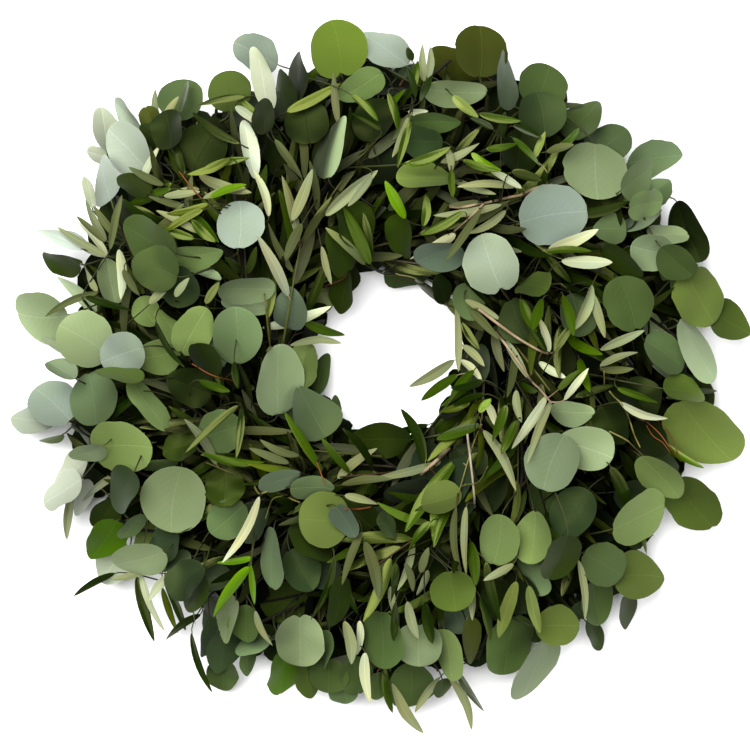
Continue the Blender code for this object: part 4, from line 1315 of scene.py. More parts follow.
def rootOnTwig(twig, stems):
    # The shown leaves whose bases lie beside the twig grow from it
    for stem in stems:
        for leaf in stem.leaves:
            gaps = [math.hypot(spot.x - leaf.base.x, spot.y - leaf.base.y) for spot in twig.route]
            spot = twig.route[int(np.argmin(gaps))]
            level = abs(spot.z - leaf.base.z) < overLeaves["leafRise"]
            if level and min(gaps) < overLeaves["leafReach"]:
                leaf.root, leaf.onTwig = spot, True


bed = {
    "rings": (0.062, 0.07, 0.079, 0.088, 0.097, 0.106, 0.115, 0.125, 0.135, 0.145, 0.155, 0.165, 0.175,
              0.185, 0.195, 0.205, 0.215, 0.225, 0.234),
    "heights": (0.004, 0.04), "spacing": 0.017, "angleToss": 3, "radiusToss": 0.006,
    "length": 0.04, "lengthShare": (0.85, 1.1), "widthShare": 0.9, "cup": (-0.05, 0.1), "stalk": 0.008,
    "clearance": 0.0002, "tries": 22, "shrink": 0.95,
    "inside": 0.005, "rimWidth": 0.032,  # from the rim: where it ends, and where it takes a brighter tone
    "rimTones": "ffec", "darkFrom": 0.088,
    "edge": ((0.03, 0), (0.2, 0.75), (0.2, -0.75), (0.55, 1), (0.55, -1), (0.86, 0.7), (0.86, -0.7),
             (1.0, 0)),
}


def edgeSpots(leaf):
    return [leaf.point(*place) for place in bed["edge"]]


def showsAtRim(leaf, room, covers):
    # Whether part of a bed leaf beside the rim has no other leaf over it
    beside = [spot for spot in edgeSpots(leaf) if not withinRing(spot, outside=bed["rimWidth"])]
    return any(topAt(spot, room, covers) < spot.z for spot in beside)


def addBed(stems, shown, room, rng):
    # Broad leaves close to the surface, between the stems, which hide it from above; they are painted near
    # black as shade, unless the rim leaves them uncovered
    sprays = [stem for stem in stems if stem.kind == "round"]
    laid, covers = 0, len(room.trees)
    for ringIndex, radius in enumerate(bed["rings"]):
        count = round(2 * math.pi * radius / bed["spacing"])
        for item in range(count):
            angle = 360 * (item + 0.5 * (ringIndex % 2)) / count
            angle += rng.uniform(-bed["angleToss"], bed["angleToss"])
            middle = polar(radius + rng.uniform(-bed["radiusToss"], bed["radiusToss"]), angle, 0)
            length = bed["length"] * rng.uniform(*bed["lengthShare"])
            for _ in range(bed["tries"]):
                along = polar(length / 2, flowHeading(radius, angle, rng), 0)
                base, tip, width = middle - along, middle + along, length * bed["widthShare"]
                leaf = posedLeaf("round", base, tip, width, rng.uniform(*bed["heights"]), "round", rng)
                leaf.cup = rng.uniform(*bed["cup"])
                body = leaf.blade(bed["clearance"])
                inside = all(withinRing(spot, outside=bed["inside"]) for spot in edgeSpots(leaf))
                if not inside or leavesHeights(body) or shown.hiddenBy(leaf) or room.touches(body):
                    length *= bed["shrink"]
                    continue
                stem = min(sprays, key=lambda one: min((leaf.base - spot).length for spot in one.route[2:]))
                leaf.root = leaf.base - leaf.axis * bed["stalk"]
                # painted shade: a bed leaf is near black, as the foliage over it would shade it
                leaf.tone = "k" if radius > bed["darkFrom"] else "x"
                if showsAtRim(leaf, room, covers):
                    leaf.tone = rng.choice(bed["rimTones"])
                leaf.grade = "bed"
                stem.leaves.append(leaf)
                room.add(leaf.blade(), "leaf")
                laid += 1
                break
    return laid


# Leaves read off the picture, in its pixels, each with its tone's letter and its sort of outline
# Round leaves: x and y of the middle, length and width, heading in degrees
# Olive leaves: x and y of the base, x and y of the tip, width
roundOnTop = (
    # top left
    (240, 225, 48, 48, 90, "q even"), (126, 148, 58, 44, 135, "w even"), (261, 78, 66, 26, 100, "p even"),
    (181, 98, 44, 46, 80, "c even"), (229, 90, 42, 44, 90, "g even"), (334, 148, 64, 30, 80, "s halved"),
    (102, 178, 46, 38, 110, "w"), (336, 45, 56, 58, 100, "y heart"), (58, 238, 50, 24, 155, "w"),
    # top right
    (595, 173, 58, 66, 270, "s even"), (552, 218, 68, 60, 10, "b even"), (490, 262, 56, 54, 110, "b heart"),
    (456, 90, 60, 27, 0, "s"), (424, 180, 56, 28, 180, "o"), (657, 158, 60, 42, 10, "h pointed"),
    (540, 115, 46, 48, 100, "e even"), (652, 250, 45, 38, 350, "s"), (584, 118, 50, 36, 50, "f"),
    (480, 50, 52, 54, 90, "n even"), (505, 80, 54, 36, 80, "e even"), (657, 191, 38, 34, 40, "h pointed"),
    # right
    (708, 430, 80, 66, 315, "o even"), (552, 462, 58, 54, 250, "l even"), (585, 449, 56, 44, 340, "l"),
    (696, 352, 68, 44, 300, "s even"), (660, 477, 58, 38, 315, "m lemon"),
    (625, 303, 54, 50, 290, "f even"), (641, 518, 60, 52, 20, "m even"), (702, 297, 60, 54, 300, "o"),
    (665, 353, 48, 36, 330, "c even"), (697, 503, 60, 48, 310, "g even"),
    (733, 322, 46, 40, 330, "g pointed"),
    # bottom
    (537, 672, 68, 50, 255, "s even"), (642, 579, 54, 50, 0, "o pointed"),
    (604, 565, 46, 44, 330, "c even"), (324, 517, 50, 58, 180, "o even"),
    (300, 642, 50, 50, 270, "l heart"), (419, 646, 42, 54, 270, "s heart"), (558, 627, 46, 42, 0, "o"),
    (381, 640, 58, 42, 270, "f even"), (452, 590, 40, 50, 280, "g even"), (496, 538, 50, 40, 260, "m even"),
    (532, 537, 52, 36, 265, "m"), (272, 557, 60, 28, 265, "h"), (449, 655, 54, 32, 280, "m"),
    (177, 499, 66, 66, 260, "s even"), (102, 541, 48, 38, 235, "v pointed"),
    # left
    (85, 340, 60, 56, 150, "l even"), (38, 315, 58, 56, 180, "l even"), (123, 446, 62, 54, 0, "m even"),
    (237, 335, 56, 50, 90, "h even"), (123, 355, 46, 42, 200, "b"), (50, 404, 50, 48, 140, "b even"),
    (93, 399, 52, 50, 100, "h even"), (30, 421, 48, 36, 175, "w pointed"), (196, 330, 50, 38, 60, "m"),
    (197, 256, 56, 28, 10, "m"), (248, 290, 56, 26, 0, "s"), (222, 432, 46, 44, 200, "c"),
    (150, 403, 60, 22, 125, "m"),
    # round the hole
    (278, 379, 70, 52, 90, "s even"), (312, 414, 54, 50, 120, "h"), (290, 309, 40, 34, 90, "t"),
    (437, 255, 44, 38, 200, "t"),
)
roundBelow = (
    # top left
    (155, 242, 46, 50, 150, "f"), (385, 45, 58, 42, 140, "q"), (255, 50, 50, 36, 150, "q"),
    (307, 124, 42, 44, 100, "x"), (270, 146, 58, 30, 105, "d"), (205, 150, 52, 50, 60, "x"),
    (100, 128, 44, 24, 100, "p"), (122, 113, 42, 24, 140, "q"), (283, 94, 52, 32, 100, "x"),
    (297, 76, 48, 30, 100, "x"), (360, 85, 50, 30, 210, "m"), (250, 150, 60, 16, 100, "p"),
    (115, 215, 46, 40, 120, "x"), (182, 285, 44, 40, 150, "e"),
    # top right
    (435, 123, 52, 20, 0, "f"), (456, 64, 62, 36, 160, "n"), (543, 84, 46, 50, 70, "f even"),
    (611, 141, 46, 42, 40, "c"), (609, 230, 34, 32, 180, "h pointed"), (643, 220, 44, 24, 30, "l pointed"),
    (420, 143, 45, 32, 180, "e"), (352, 222, 50, 40, 120, "d"), (402, 235, 40, 30, 90, "d"),
    (670, 235, 38, 24, 0, "s"), (692, 230, 66, 32, 290, "x"), (372, 120, 46, 42, 90, "x"),
    (520, 150, 46, 40, 80, "x"),
    # right
    (683, 272, 54, 36, 300, "f"), (657, 327, 38, 28, 330, "s"), (622, 262, 50, 20, 320, "d"),
    (572, 410, 44, 26, 0, "s"), (640, 400, 46, 40, 300, "x"), (612, 425, 44, 36, 300, "x"),
    (650, 440, 44, 34, 320, "x"),
    # bottom
    (510, 648, 60, 50, 260, "f"), (598, 605, 44, 36, 280, "f"), (573, 513, 55, 42, 240, "e"),
    (547, 497, 44, 40, 270, "f"), (534, 572, 50, 26, 290, "h"), (302, 570, 45, 38, 300, "e"),
    (312, 540, 50, 30, 320, "d"), (283, 605, 44, 48, 250, "d"), (281, 675, 46, 42, 265, "v"),
    (328, 678, 36, 40, 270, "f"), (308, 683, 38, 30, 285, "g"), (338, 600, 50, 26, 265, "d"),
    (412, 688, 44, 48, 270, "f"), (456, 620, 34, 34, 300, "t"), (356, 678, 38, 34, 280, "f"),
    (470, 642, 44, 26, 280, "n"), (247, 624, 38, 34, 270, "f"), (228, 622, 46, 26, 250, "s"),
    (222, 655, 48, 38, 260, "e pointed"), (221, 680, 34, 34, 270, "f"), (500, 600, 44, 38, 270, "x"),
    (430, 560, 46, 40, 260, "x"),
    # left
    (73, 292, 50, 30, 150, "l"), (155, 355, 52, 36, 190, "m pointed"), (171, 327, 44, 24, 120, "m"),
    (158, 276, 48, 46, 160, "h"), (111, 280, 46, 28, 100, "s"), (246, 306, 50, 20, 350, "s"),
    (122, 411, 58, 30, 200, "d"), (181, 447, 38, 30, 200, "d"), (225, 487, 38, 40, 270, "d"),
    (68, 475, 44, 34, 220, "p"), (103, 515, 34, 30, 240, "d"), (112, 567, 46, 42, 230, "w"),
    (142, 545, 50, 20, 260, "m"), (228, 518, 44, 40, 220, "c"), (190, 385, 46, 40, 160, "x"),
    (165, 545, 40, 34, 230, "e"),
    # round the hole
    (303, 366, 50, 34, 80, "m"), (380, 440, 64, 36, 180, "d"), (342, 291, 44, 28, 260, "d"),
    (340, 250, 44, 36, 110, "d"),
)
roundSmall = (
    # top left
    (150, 134, 34, 24, 150, "d"), (94, 152, 25, 16, 160, "p"), (87, 190, 34, 14, 100, "p"),
    (148, 116, 24, 22, 110, "n"),
    # right
    (672, 376, 44, 20, 330, "s"), (689, 388, 28, 14, 0, "o"),
    # bottom
    (629, 615, 36, 24, 270, "d pointed"), (597, 638, 34, 20, 300, "d"), (326, 650, 38, 22, 260, "f"),
    (343, 696, 24, 30, 290, "c"), (377, 689, 28, 24, 270, "f"), (443, 691, 20, 20, 270, "d"),
    (207, 640, 44, 18, 265, "e"), (248, 665, 30, 18, 270, "f pointed"), (252, 646, 38, 18, 200, "h"),
    # left
    (147, 311, 32, 28, 120, "m"), (203, 273, 40, 16, 340, "s"), (55, 347, 40, 16, 160, "m"),
    (150, 466, 50, 16, 190, "f"), (80, 500, 34, 26, 230, "p"), (48, 440, 26, 10, 200, "g"),
    (157, 550, 30, 26, 250, "c"), (174, 563, 36, 16, 200, "h"), (130, 527, 34, 20, 230, "c"),
    # round the hole
    (321, 373, 44, 20, 80, "f"), (332, 415, 40, 20, 90, "f"), (441, 289, 30, 22, 110, "x"),
)
roundMore = (
    # left
    (100, 126, 46, 26, 100, "p"), (157, 270, 48, 46, 160, "f"), (152, 240, 62, 44, 150, "f"),
    (122, 376, 48, 22, 170, "g"), (62, 370, 34, 22, 150, "l"), (125, 490, 44, 36, 240, "e"),
    (281, 479, 42, 22, 10, "t"), (313, 487, 44, 26, 0, "h"), (207, 360, 40, 26, 120, "x"),
    (188, 580, 44, 34, 225, "e"), (62, 492, 46, 32, 215, "p"), (140, 560, 52, 40, 200, "s"),
    (196, 592, 40, 26, 250, "d"), (88, 452, 36, 24, 200, "s"), (60, 262, 40, 24, 170, "d"),
    (134, 186, 34, 26, 150, "d"), (168, 130, 40, 34, 100, "x"), (264, 118, 34, 26, 100, "x"),
    # right
    (558, 556, 48, 36, 250, "d"), (441, 497, 40, 30, 20, "o"), (346, 521, 36, 24, 300, "t"),
    (625, 400, 44, 30, 330, "x"), (636, 178, 42, 36, 40, "h"), (646, 206, 36, 30, 10, "h"),
    (676, 262, 44, 34, 320, "f"), (682, 392, 42, 30, 350, "g"), (660, 462, 44, 30, 330, "d"),
)
oliveOnTop = (
    # twig over the top right
    (455, 235, 409, 262, 12, "w"), (470, 228, 441, 262, 9, "p"), (500, 207, 433, 217, 9, "p"),
    (505, 212, 468, 235, 9, "p"), (472, 222, 418, 236, 10, "d"), (520, 190, 485, 172, 7, "w"),
    (515, 188, 455, 190, 6, "p"), (547, 250, 597, 232, 13, "w"), (543, 253, 590, 251, 6, "g"),
    (560, 262, 610, 263, 14, "w"),
    # top middle
    (326, 217, 378, 173, 13, "p"), (293, 222, 313, 172, 12, "p"), (405, 220, 385, 183, 12, "v"),
    (423, 228, 425, 195, 10, "g"), (276, 142, 305, 180, 9, "r"), (287, 113, 340, 84, 12, "o"),
    (370, 265, 345, 210, 14, "g"), (370, 262, 362, 215, 10, "d"), (365, 265, 325, 235, 10, "r"),
    (424, 82, 421, 42, 9, "p"), (424, 82, 431, 55, 7, "p"), (408, 120, 395, 160, 8, "p"),
    (410, 115, 393, 142, 7, "r"), (270, 218, 255, 172, 9, "w"),
    # upper left
    (205, 200, 247, 190, 8, "p"), (200, 177, 250, 195, 12, "p"), (172, 190, 125, 205, 9, "g"),
    (165, 225, 125, 203, 9, "d"), (150, 232, 195, 240, 9, "d"), (205, 170, 250, 160, 8, "g"),
    (240, 145, 190, 110, 10, "d"), (185, 175, 175, 140, 10, "d"), (107, 256, 48, 223, 6, "p"),
    (107, 256, 60, 232, 8, "w"), (120, 250, 121, 300, 11, "w"), (125, 270, 140, 297, 9, "r"),
    (98, 292, 44, 318, 8, "r"), (86, 297, 133, 311, 9, "d"), (195, 215, 218, 245, 9, "g"),
    (140, 190, 160, 145, 8, "w"),
    # right
    (545, 352, 518, 300, 10, "d"), (548, 352, 538, 317, 9, "w"), (553, 352, 574, 322, 9, "d"),
    (465, 300, 500, 320, 8, "p"), (470, 310, 498, 340, 9, "r"), (590, 286, 570, 330, 12, "p"),
    (588, 290, 604, 338, 10, "p"), (592, 285, 633, 337, 8, "d"), (598, 350, 644, 331, 10, "p"),
    (598, 366, 636, 350, 8, "p"), (562, 400, 586, 368, 8, "w"), (556, 390, 580, 370, 8, "g"),
    (617, 402, 670, 420, 9, "w"), (615, 388, 657, 405, 8, "g"), (609, 466, 633, 518, 14, "d"),
    (545, 396, 510, 448, 11, "w"), (515, 390, 519, 422, 9, "p"), (550, 400, 527, 462, 9, "p"),
    # round the hole
    (457, 300, 457, 372, 8, "p"), (463, 345, 484, 366, 9, "p"), (461, 360, 480, 381, 8, "w"),
    (455, 360, 411, 386, 12, "p"), (458, 375, 418, 401, 11, "g"), (462, 322, 480, 350, 8, "d"),
    (425, 463, 401, 409, 13, "d"), (262, 328, 332, 308, 12, "w"), (302, 320, 346, 336, 11, "g"),
    (290, 345, 344, 344, 9, "p"), (338, 478, 377, 445, 11, "p"), (322, 470, 284, 412, 10, "g"),
    # below the hole
    (455, 460, 402, 527, 16, "g"), (458, 490, 432, 545, 10, "g"), (430, 520, 407, 548, 9, "g"),
    (480, 425, 437, 440, 12, "g"), (455, 505, 456, 583, 8, "r"), (465, 505, 462, 578, 8, "p"),
    (470, 540, 475, 584, 12, "g"), (483, 430, 515, 490, 11, "p"), (365, 540, 378, 597, 13, "r"),
    (362, 530, 343, 583, 9, "r"), (335, 555, 313, 620, 8, "d"), (425, 600, 433, 642, 12, "d"),
    (407, 600, 420, 638, 11, "p"), (515, 580, 500, 640, 16, "l"), (528, 585, 540, 633, 13, "l"),
    (480, 595, 493, 640, 9, "d"),
    # bottom
    (365, 652, 371, 703, 12, "w"), (392, 685, 423, 737, 12, "p"), (450, 678, 474, 737, 10, "p"),
    (455, 668, 483, 722, 10, "d"), (385, 670, 395, 717, 10, "g"), (345, 620, 349, 665, 13, "p"),
    (578, 560, 588, 622, 8, "p"), (250, 565, 213, 615, 13, "v"), (252, 563, 253, 605, 7, "v"),
    (256, 610, 273, 645, 8, "p"), (261, 495, 224, 560, 10, "w"), (72, 490, 57, 543, 12, "p"),
    (112, 575, 68, 601, 8, "d"), (150, 568, 110, 580, 8, "p"), (135, 578, 155, 643, 12, "d"),
    (140, 575, 160, 635, 9, "w"), (175, 572, 148, 602, 10, "w"), (200, 615, 160, 643, 9, "d"),
    (190, 635, 212, 695, 8, "d"), (165, 580, 182, 637, 9, "d"),
)
oliveBelow = (
    # top
    (478, 203, 448, 207, 7, "r"), (548, 350, 548, 305, 6, "d"), (545, 255, 572, 285, 9, "d"),
    (408, 112, 428, 110, 7, "w"), (412, 60, 407, 45, 8, "d"), (105, 240, 83, 198, 9, "p"),
    (107, 256, 74, 217, 6, "w"), (97, 291, 83, 263, 8, "p"), (80, 262, 52, 252, 9, "g"),
    (200, 190, 170, 195, 7, "p"), (181, 115, 182, 77, 7, "d"), (155, 125, 152, 85, 7, "p"),
    # right
    (598, 369, 632, 368, 5, "r"), (538, 362, 565, 378, 9, "w"), (575, 397, 615, 385, 8, "d"),
    (505, 340, 526, 378, 9, "p"), (485, 400, 495, 425, 9, "w"),
    # bottom
    (340, 575, 358, 615, 9, "d"), (390, 585, 397, 617, 8, "p"), (428, 570, 418, 597, 8, "p"),
    (470, 585, 472, 620, 9, "p"), (360, 620, 357, 655, 9, "w"), (440, 680, 415, 716, 6, "p"),
    (160, 590, 175, 637, 8, "o"), (192, 565, 196, 625, 7, "m"), (253, 557, 218, 565, 8, "v"),
)
oliveMore = (
    # top
    (352, 98, 378, 124, 8, "g"), (381, 132, 352, 118, 7, "d"), (408, 166, 450, 150, 10, "g"),
    (447, 152, 451, 176, 9, "p"), (440, 165, 478, 146, 9, "p"), (462, 163, 498, 174, 8, "g"),
    (322, 248, 332, 285, 8, "p"), (415, 100, 405, 68, 8, "d"), (420, 104, 432, 78, 7, "d"),
    (412, 92, 418, 62, 7, "g"), (452, 98, 476, 120, 11, "l"), (478, 116, 520, 124, 9, "g"),
    (492, 132, 470, 118, 8, "d"), (500, 140, 505, 112, 8, "d"), (512, 128, 540, 140, 9, "d"),
    (512, 140, 538, 168, 8, "g"), (510, 174, 540, 183, 11, "d"), (533, 160, 544, 133, 6, "l"),
    (545, 154, 572, 146, 9, "r"), (560, 148, 578, 128, 9, "g"), (485, 152, 516, 146, 8, "g"),
    (181, 114, 183, 77, 9, "d"), (162, 126, 178, 96, 8, "p"), (236, 108, 262, 126, 10, "w"),
    (410, 124, 397, 170, 8, "g"), (428, 80, 430, 48, 8, "p"), (462, 214, 419, 236, 10, "g"),
    (480, 212, 443, 262, 9, "r"), (303, 226, 284, 264, 11, "r"), (388, 96, 398, 134, 9, "g"),
    (450, 172, 452, 200, 7, "g"), (470, 156, 500, 172, 9, "v"), (404, 166, 440, 158, 8, "v"),
    (372, 178, 350, 210, 9, "p"), (246, 98, 198, 107, 8, "d"), (262, 118, 240, 98, 9, "g"),
    # upper left
    (172, 184, 124, 206, 10, "m"), (165, 186, 128, 168, 9, "r"), (168, 200, 128, 182, 8, "r"),
    (112, 250, 123, 195, 8, "r"), (212, 200, 248, 186, 9, "v"), (205, 212, 162, 236, 8, "o"),
    (152, 305, 175, 282, 10, "p"), (178, 298, 190, 278, 9, "p"), (208, 305, 222, 282, 9, "d"),
    (166, 198, 202, 194, 8, "p"), (200, 234, 158, 212, 9, "p"), (196, 240, 152, 228, 10, "g"),
    (160, 224, 122, 202, 11, "d"), (150, 236, 186, 205, 8, "r"), (194, 222, 218, 244, 10, "g"),
    (118, 238, 94, 206, 8, "r"), (106, 242, 74, 216, 8, "r"), (210, 206, 168, 216, 8, "o"),
    (186, 208, 150, 196, 8, "r"), (232, 160, 190, 176, 9, "o"),
    # left
    (158, 322, 187, 368, 7, "d"), (140, 392, 92, 424, 8, "d"), (202, 380, 232, 392, 9, "g"),
    (215, 365, 224, 392, 8, "d"), (236, 362, 240, 388, 7, "d"), (240, 405, 188, 452, 9, "d"),
    (243, 405, 235, 455, 8, "d"), (205, 452, 266, 464, 9, "g"), (290, 462, 250, 446, 9, "r"),
    (296, 470, 252, 462, 9, "o"), (300, 455, 262, 440, 8, "r"),
    # below the hole
    (342, 484, 392, 478, 9, "r"), (345, 494, 378, 502, 9, "p"), (395, 560, 392, 600, 9, "d"),
    (405, 560, 412, 590, 8, "r"), (420, 570, 428, 545, 9, "r"), (395, 600, 396, 640, 9, "d"),
    (485, 560, 498, 620, 11, "d"), (512, 562, 482, 578, 9, "p"), (478, 412, 490, 398, 9, "v"),
    (482, 380, 448, 389, 9, "d"), (484, 394, 452, 408, 8, "d"), (474, 370, 450, 398, 9, "g"),
    (470, 402, 440, 412, 8, "o"), (505, 405, 488, 440, 11, "g"), (515, 420, 498, 452, 10, "g"),
    (540, 300, 528, 330, 11, "g"), (560, 296, 572, 336, 10, "g"), (520, 300, 536, 332, 11, "g"),
)


# The lists in the order in which their leaves find a place: how far under the crown they begin, and outline
solidLayers = (
    ("round", roundOnTop, (0.004, "round")), ("olive", oliveOnTop, (0.0, "olive")),
    ("round", roundBelow, (0.012, "under")),
)
fineLayers = (("round", roundSmall, (0.012, "under")), ("olive", oliveBelow, (0.01, "olive")))


def leafEnds(kind, reading):
    # Base, tip and width of a leaf read off the picture
    if kind == "olive":
        baseX, baseY, tipX, tipY, width, _ = reading
        return atPixel(baseX, baseY), atPixel(tipX, tipY), width * photo["pixel"]
    x, y, length, width, heading, _ = reading
    along = polar(length * photo["pixel"] / 2, heading, 0)
    middle = atPixel(x, y)
    return middle - along, middle + along, width * photo["pixel"]


def placeListed(kind, readings, place, *around):
    # Place each leaf of a list, and give it its tone, and its sort of outline where that is plain to see
    for reading in readings:
        leaf = place(kind, *leafEnds(kind, reading), *around)
        if leaf:
            leaf.tone, _, sort = reading[-1].partition(" ")
            leaf.sort, leaf.grade = sort or None, "shown"


def layOut():
    # The stems with all their leaves and twigs, the same on every run
    rng = random.Random(layoutSeed)
    room = Room()
    stems = planStems(rng)
    for bar in ringBars() + [bindingTurns()]:
        room.add(bar, "ring")
    for stem in stems:
        room.add(stem.body, stem)
    kinds = ("round", "olive")
    holds = {kind: Footholds([stem for stem in stems if stem.kind == kind]) for kind in kinds}
    for kind, readings, layer in solidLayers:
        placeListed(kind, readings, placeShownLeaf, layer, holds[kind], room, rng)
    for stem in sorted(stems, key=lambda stem: stem.kind):
        addSideLeaves(stem, room, rng)
    rng = random.Random(layoutSeed + 1)
    for kind, readings, layer in fineLayers:
        placeListed(kind, readings, placeShownLeaf, layer, holds[kind], room, rng)
    # thin stalks may pass close to one another from here on, and only blades and stems keep clear
    blades = Room()
    for stem in stems:
        blades.add(stem.body, stem)
        for leaf in stem.leaves:
            blades.add(leaf.blade(), "leaf")
    for kind, readings in (("round", roundMore), ("olive", oliveMore)):
        placeListed(kind, readings, layOver, holds[kind], blades, rng)
    shown = ShownLeaves(stems)
    for kind in ("olive", "round"):
        addTwigs(kind, holds[kind], shown, blades, rng)
    for kind in kinds:
        print(kind, "leaves between:", addFilling(kind, shown, holds[kind], blades, rng))
    print("leaves laid under all:", addBed(stems, shown, blades, rng))
    layShownTwigs(stems, blades)
    for stem in stems:
        for leaf in stem.leaves:
            leaf.tone = leaf.tone or toneFor(leaf.kind, leaf.base, rng)
    return stems


# How strongly painted shade darkens leaves, stalks, stems and twigs deep under the top of the foliage, and
# how strongly painted light lifts deep shown leaves
paintedDepthLook = {
    "fullAt": 0.038, "lift": 0.26, "darker": 0.8, "dull": 0.45, "stem": 0.25, "twig": 0.88,
    "rimFrom": 0.004, "rimOver": 0.026, "holeOver": 0.02,
}
# Shares of the studio's lamps and sky, from which the painted light and shade on shown leaves is worked out
lightShares = {
    "keyAt": 0.8, "fillAt": 0.135, "sky": 0.065, "least": 0.1, "onTone": 0.45, "limits": (0.84, 1.4),
}


def inward(spot):
    # From 0 beside the rim or the hole to 1 well inside the foliage
    reach, angle = fromMiddle(spot)
    outer = (outlineAt("rim", angle) - reach - paintedDepthLook["rimFrom"]) / paintedDepthLook["rimOver"]
    inner = (reach - outlineAt("hole", angle)) / paintedDepthLook["holeOver"]
    return clamped(outer) * clamped(inner)


def underTop(spot):
    # From 0, at the top of the foliage, to 1, far under it
    return clamped((crownHeight(fromMiddle(spot)[0]) - spot.z) / paintedDepthLook["fullAt"])


def howDeep(leaf):
    # The same for a leaf, but 0 beside the rim or the hole, where light comes in from the side
    middle = leaf.point(0.5, 0)
    return underTop(middle) * inward(middle)


def lightOn(facing):
    # About how much light of the studio a face turned this way gets
    got = lightShares["sky"]
    for lamp in ("keyAt", "fillAt"):
        got += lightShares[lamp] * max(lightShares["least"], facing.dot(Vector(studio[lamp]).normalized()))
    return got


def paintedEvenLight(facing):
    # Painted light and shade that keeps a shown leaf's tone as it was read off, whichever way the leaf leans:
    # turned away from the lamps it is painted lighter, turned to them darker
    facing = facing if facing.z > 0 else -facing
    share = lightOn(Vector((0, 0, 1))) / lightOn(facing)
    return clamped(share ** lightShares["onTone"], *lightShares["limits"])


def paintedDepthShade(leaf):
    # Painted shade: a leaf grown deep among the others is painted darker, as if shaded by those over them,
    # while a deep shown leaf is painted lighter, with painted light and shade for how it faces the lamps
    if leaf.grade == "shown":
        return (1.0 + paintedDepthLook["lift"] * howDeep(leaf)) * paintedEvenLight(leaf.normal)
    return 1.0 - paintedDepthLook["darker"] * howDeep(leaf)


stalkLook = {
    "shown": {"sides": 7, "steps": 8}, "side": {"sides": 5, "steps": 3}, "bed": {"sides": 4, "steps": 1},
    "handle": 0.01, "handleShare": 0.33, "into": 0.0016, "below": 0.0003, "withStem": 0.6,
    "thick": 0.95, "thin": 0.5, "long": 0.03, "longThick": 1.15, "longShade": 0.7,
    "shades": (0.7, 1.0), "leastShown": 0.55,
}


def addPetiole(piece, stem, leaf, rng):
    # The stalk leaves along the stem's run, bends, and ends under the base of the blade
    look, plan = stalkLook, stalkLook[leaf.grade]
    last = leaf.base + leaf.axis * look["into"] - leaf.normal * look["below"]
    reach = (leaf.base - leaf.root).length
    handle = min(reach * look["handleShare"], look["handle"])
    along = (leaf.base - leaf.root).normalized()
    if not leaf.onTwig:
        spans = list(zip(stem.route, stem.route[1:]))
        start, end = min(spans, key=lambda span: ((span[0] + span[1]) / 2 - leaf.root).length)
        along = (along + (end - start).normalized() * look["withStem"]).normalized()
    bends = [leaf.root, leaf.root + along * handle, leaf.base - leaf.axis * handle, last]
    points = bezier(bends, plan["steps"])
    thick = petiole["radius"][leaf.kind] * (look["longThick"] if reach > look["long"] else 1.0)
    thick *= look["thick"]
    radii = [thick * (1 - look["thin"] * step / plan["steps"]) for step in range(plan["steps"] + 1)]
    spots, faces = roundTube(points, radii, plan["sides"])
    # painted shade: a stalk deep under the top of the foliage is darker
    shade = (1.0 - paintedDepthLook["darker"] * howDeep(leaf)) ** 2 * rng.uniform(*look["shades"])
    shade = max(shade, look["leastShown"]) if leaf.grade == "shown" else shade
    word = rng.choice(commonTwigs[leaf.kind])
    if reach > look["long"] and not leaf.onTwig:
        word, shade = "moss", shade * look["longShade"]
    piece.add(spots, faces, 3, colour=linear([part * shade for part in twigTones[word]]))


def addTwig(piece, twig):
    spots, faces = roundTube(twig.route, twig.halves, 8)
    middle = twig.route[len(twig.route) // 2]
    # painted shade: a twig under the top of the foliage is darker, and a bare one over the leaves is not
    shade = 1.0 if twig.bare else 1 - paintedDepthLook["twig"] * underTop(middle)
    piece.add(spots, faces, 3, colour=linear([part * shade for part in twigTones[twig.tone]]))


toneLook = {  # ranges and spreads round a leaf's tone
    "bright": (0.88, 1.08), "mostCool": 2,
    "cool": {"shown": 0.02, "side": 0.05, "bed": 0.02},  # how far leaves of a tone differ in blue
    "paleSide": {"shown": (0.9, 1.1), "side": (0.35, 0.9), "bed": (0.5, 1.0)},  # brightness of lower face
    # the olive leaves that show their lower face, and how its brightness follows the tone
    "silver": "wpr", "silverFull": 188, "silverPower": 2.2, "sideSilver": 0.75,
}


def leafColour(leaf, rng):
    # The tone as a finish, a little yellower or bluer from leaf to leaf, with the painted depth shade, and
    # how bright its pale side is, which the same painted shade darkens on all but bed leaves
    look = toneLook
    shade = rng.uniform(*look["bright"]) * paintedDepthShade(leaf)
    cool = clamped(rng.gauss(0, 1), -look["mostCool"], look["mostCool"]) * look["cool"][leaf.grade]
    red, green, blue = tones[leaf.kind][leaf.tone]
    colour = linear((red * shade * (1 - cool / 3), green * shade, blue * shade * (1 + cool)))
    bright = rng.uniform(*look["paleSide"][leaf.grade])
    if leaf.grade != "bed":
        bright *= paintedDepthShade(leaf) ** 2
    if isSilver(leaf):
        bright *= (green / look["silverFull"]) ** look["silverPower"]
        bright /= look["sideSilver"] if leaf.grade == "side" else 1.0
    return [max(0.0, part) for part in colour], bright


def isSilver(leaf):
    return leaf.kind == "olive" and leaf.tone in toneLook["silver"]


paintedShadeLook = {
    "round": {"slant": 0.16, "run": 0.2, "step": 0.05}, "olive": {"slant": 0.08, "run": 0.16, "step": 0.1},
    "sharp": 5, "limits": (0.15, 2.0),
}


def paintedLeafShade(leaf, marks, rng):
    # How bright each corner of a leaf is: one half, or the part next to the stalk, is often the darker
    across = marks[:, 0] / np.abs(marks[:, 0]).max()
    plan = paintedShadeLook[leaf.kind]
    paintedShade = 1 + rng.gauss(0, plan["slant"]) * across + rng.gauss(0, plan["run"]) * (marks[:, 1] - 0.5)
    step, fixed = rng.gauss(0, plan["step"]), bladeSorts[leaf.sort][-1]
    step = step if fixed is None else fixed
    return np.clip(paintedShade + step * np.tanh(paintedShadeLook["sharp"] * across), *paintedShadeLook["limits"])


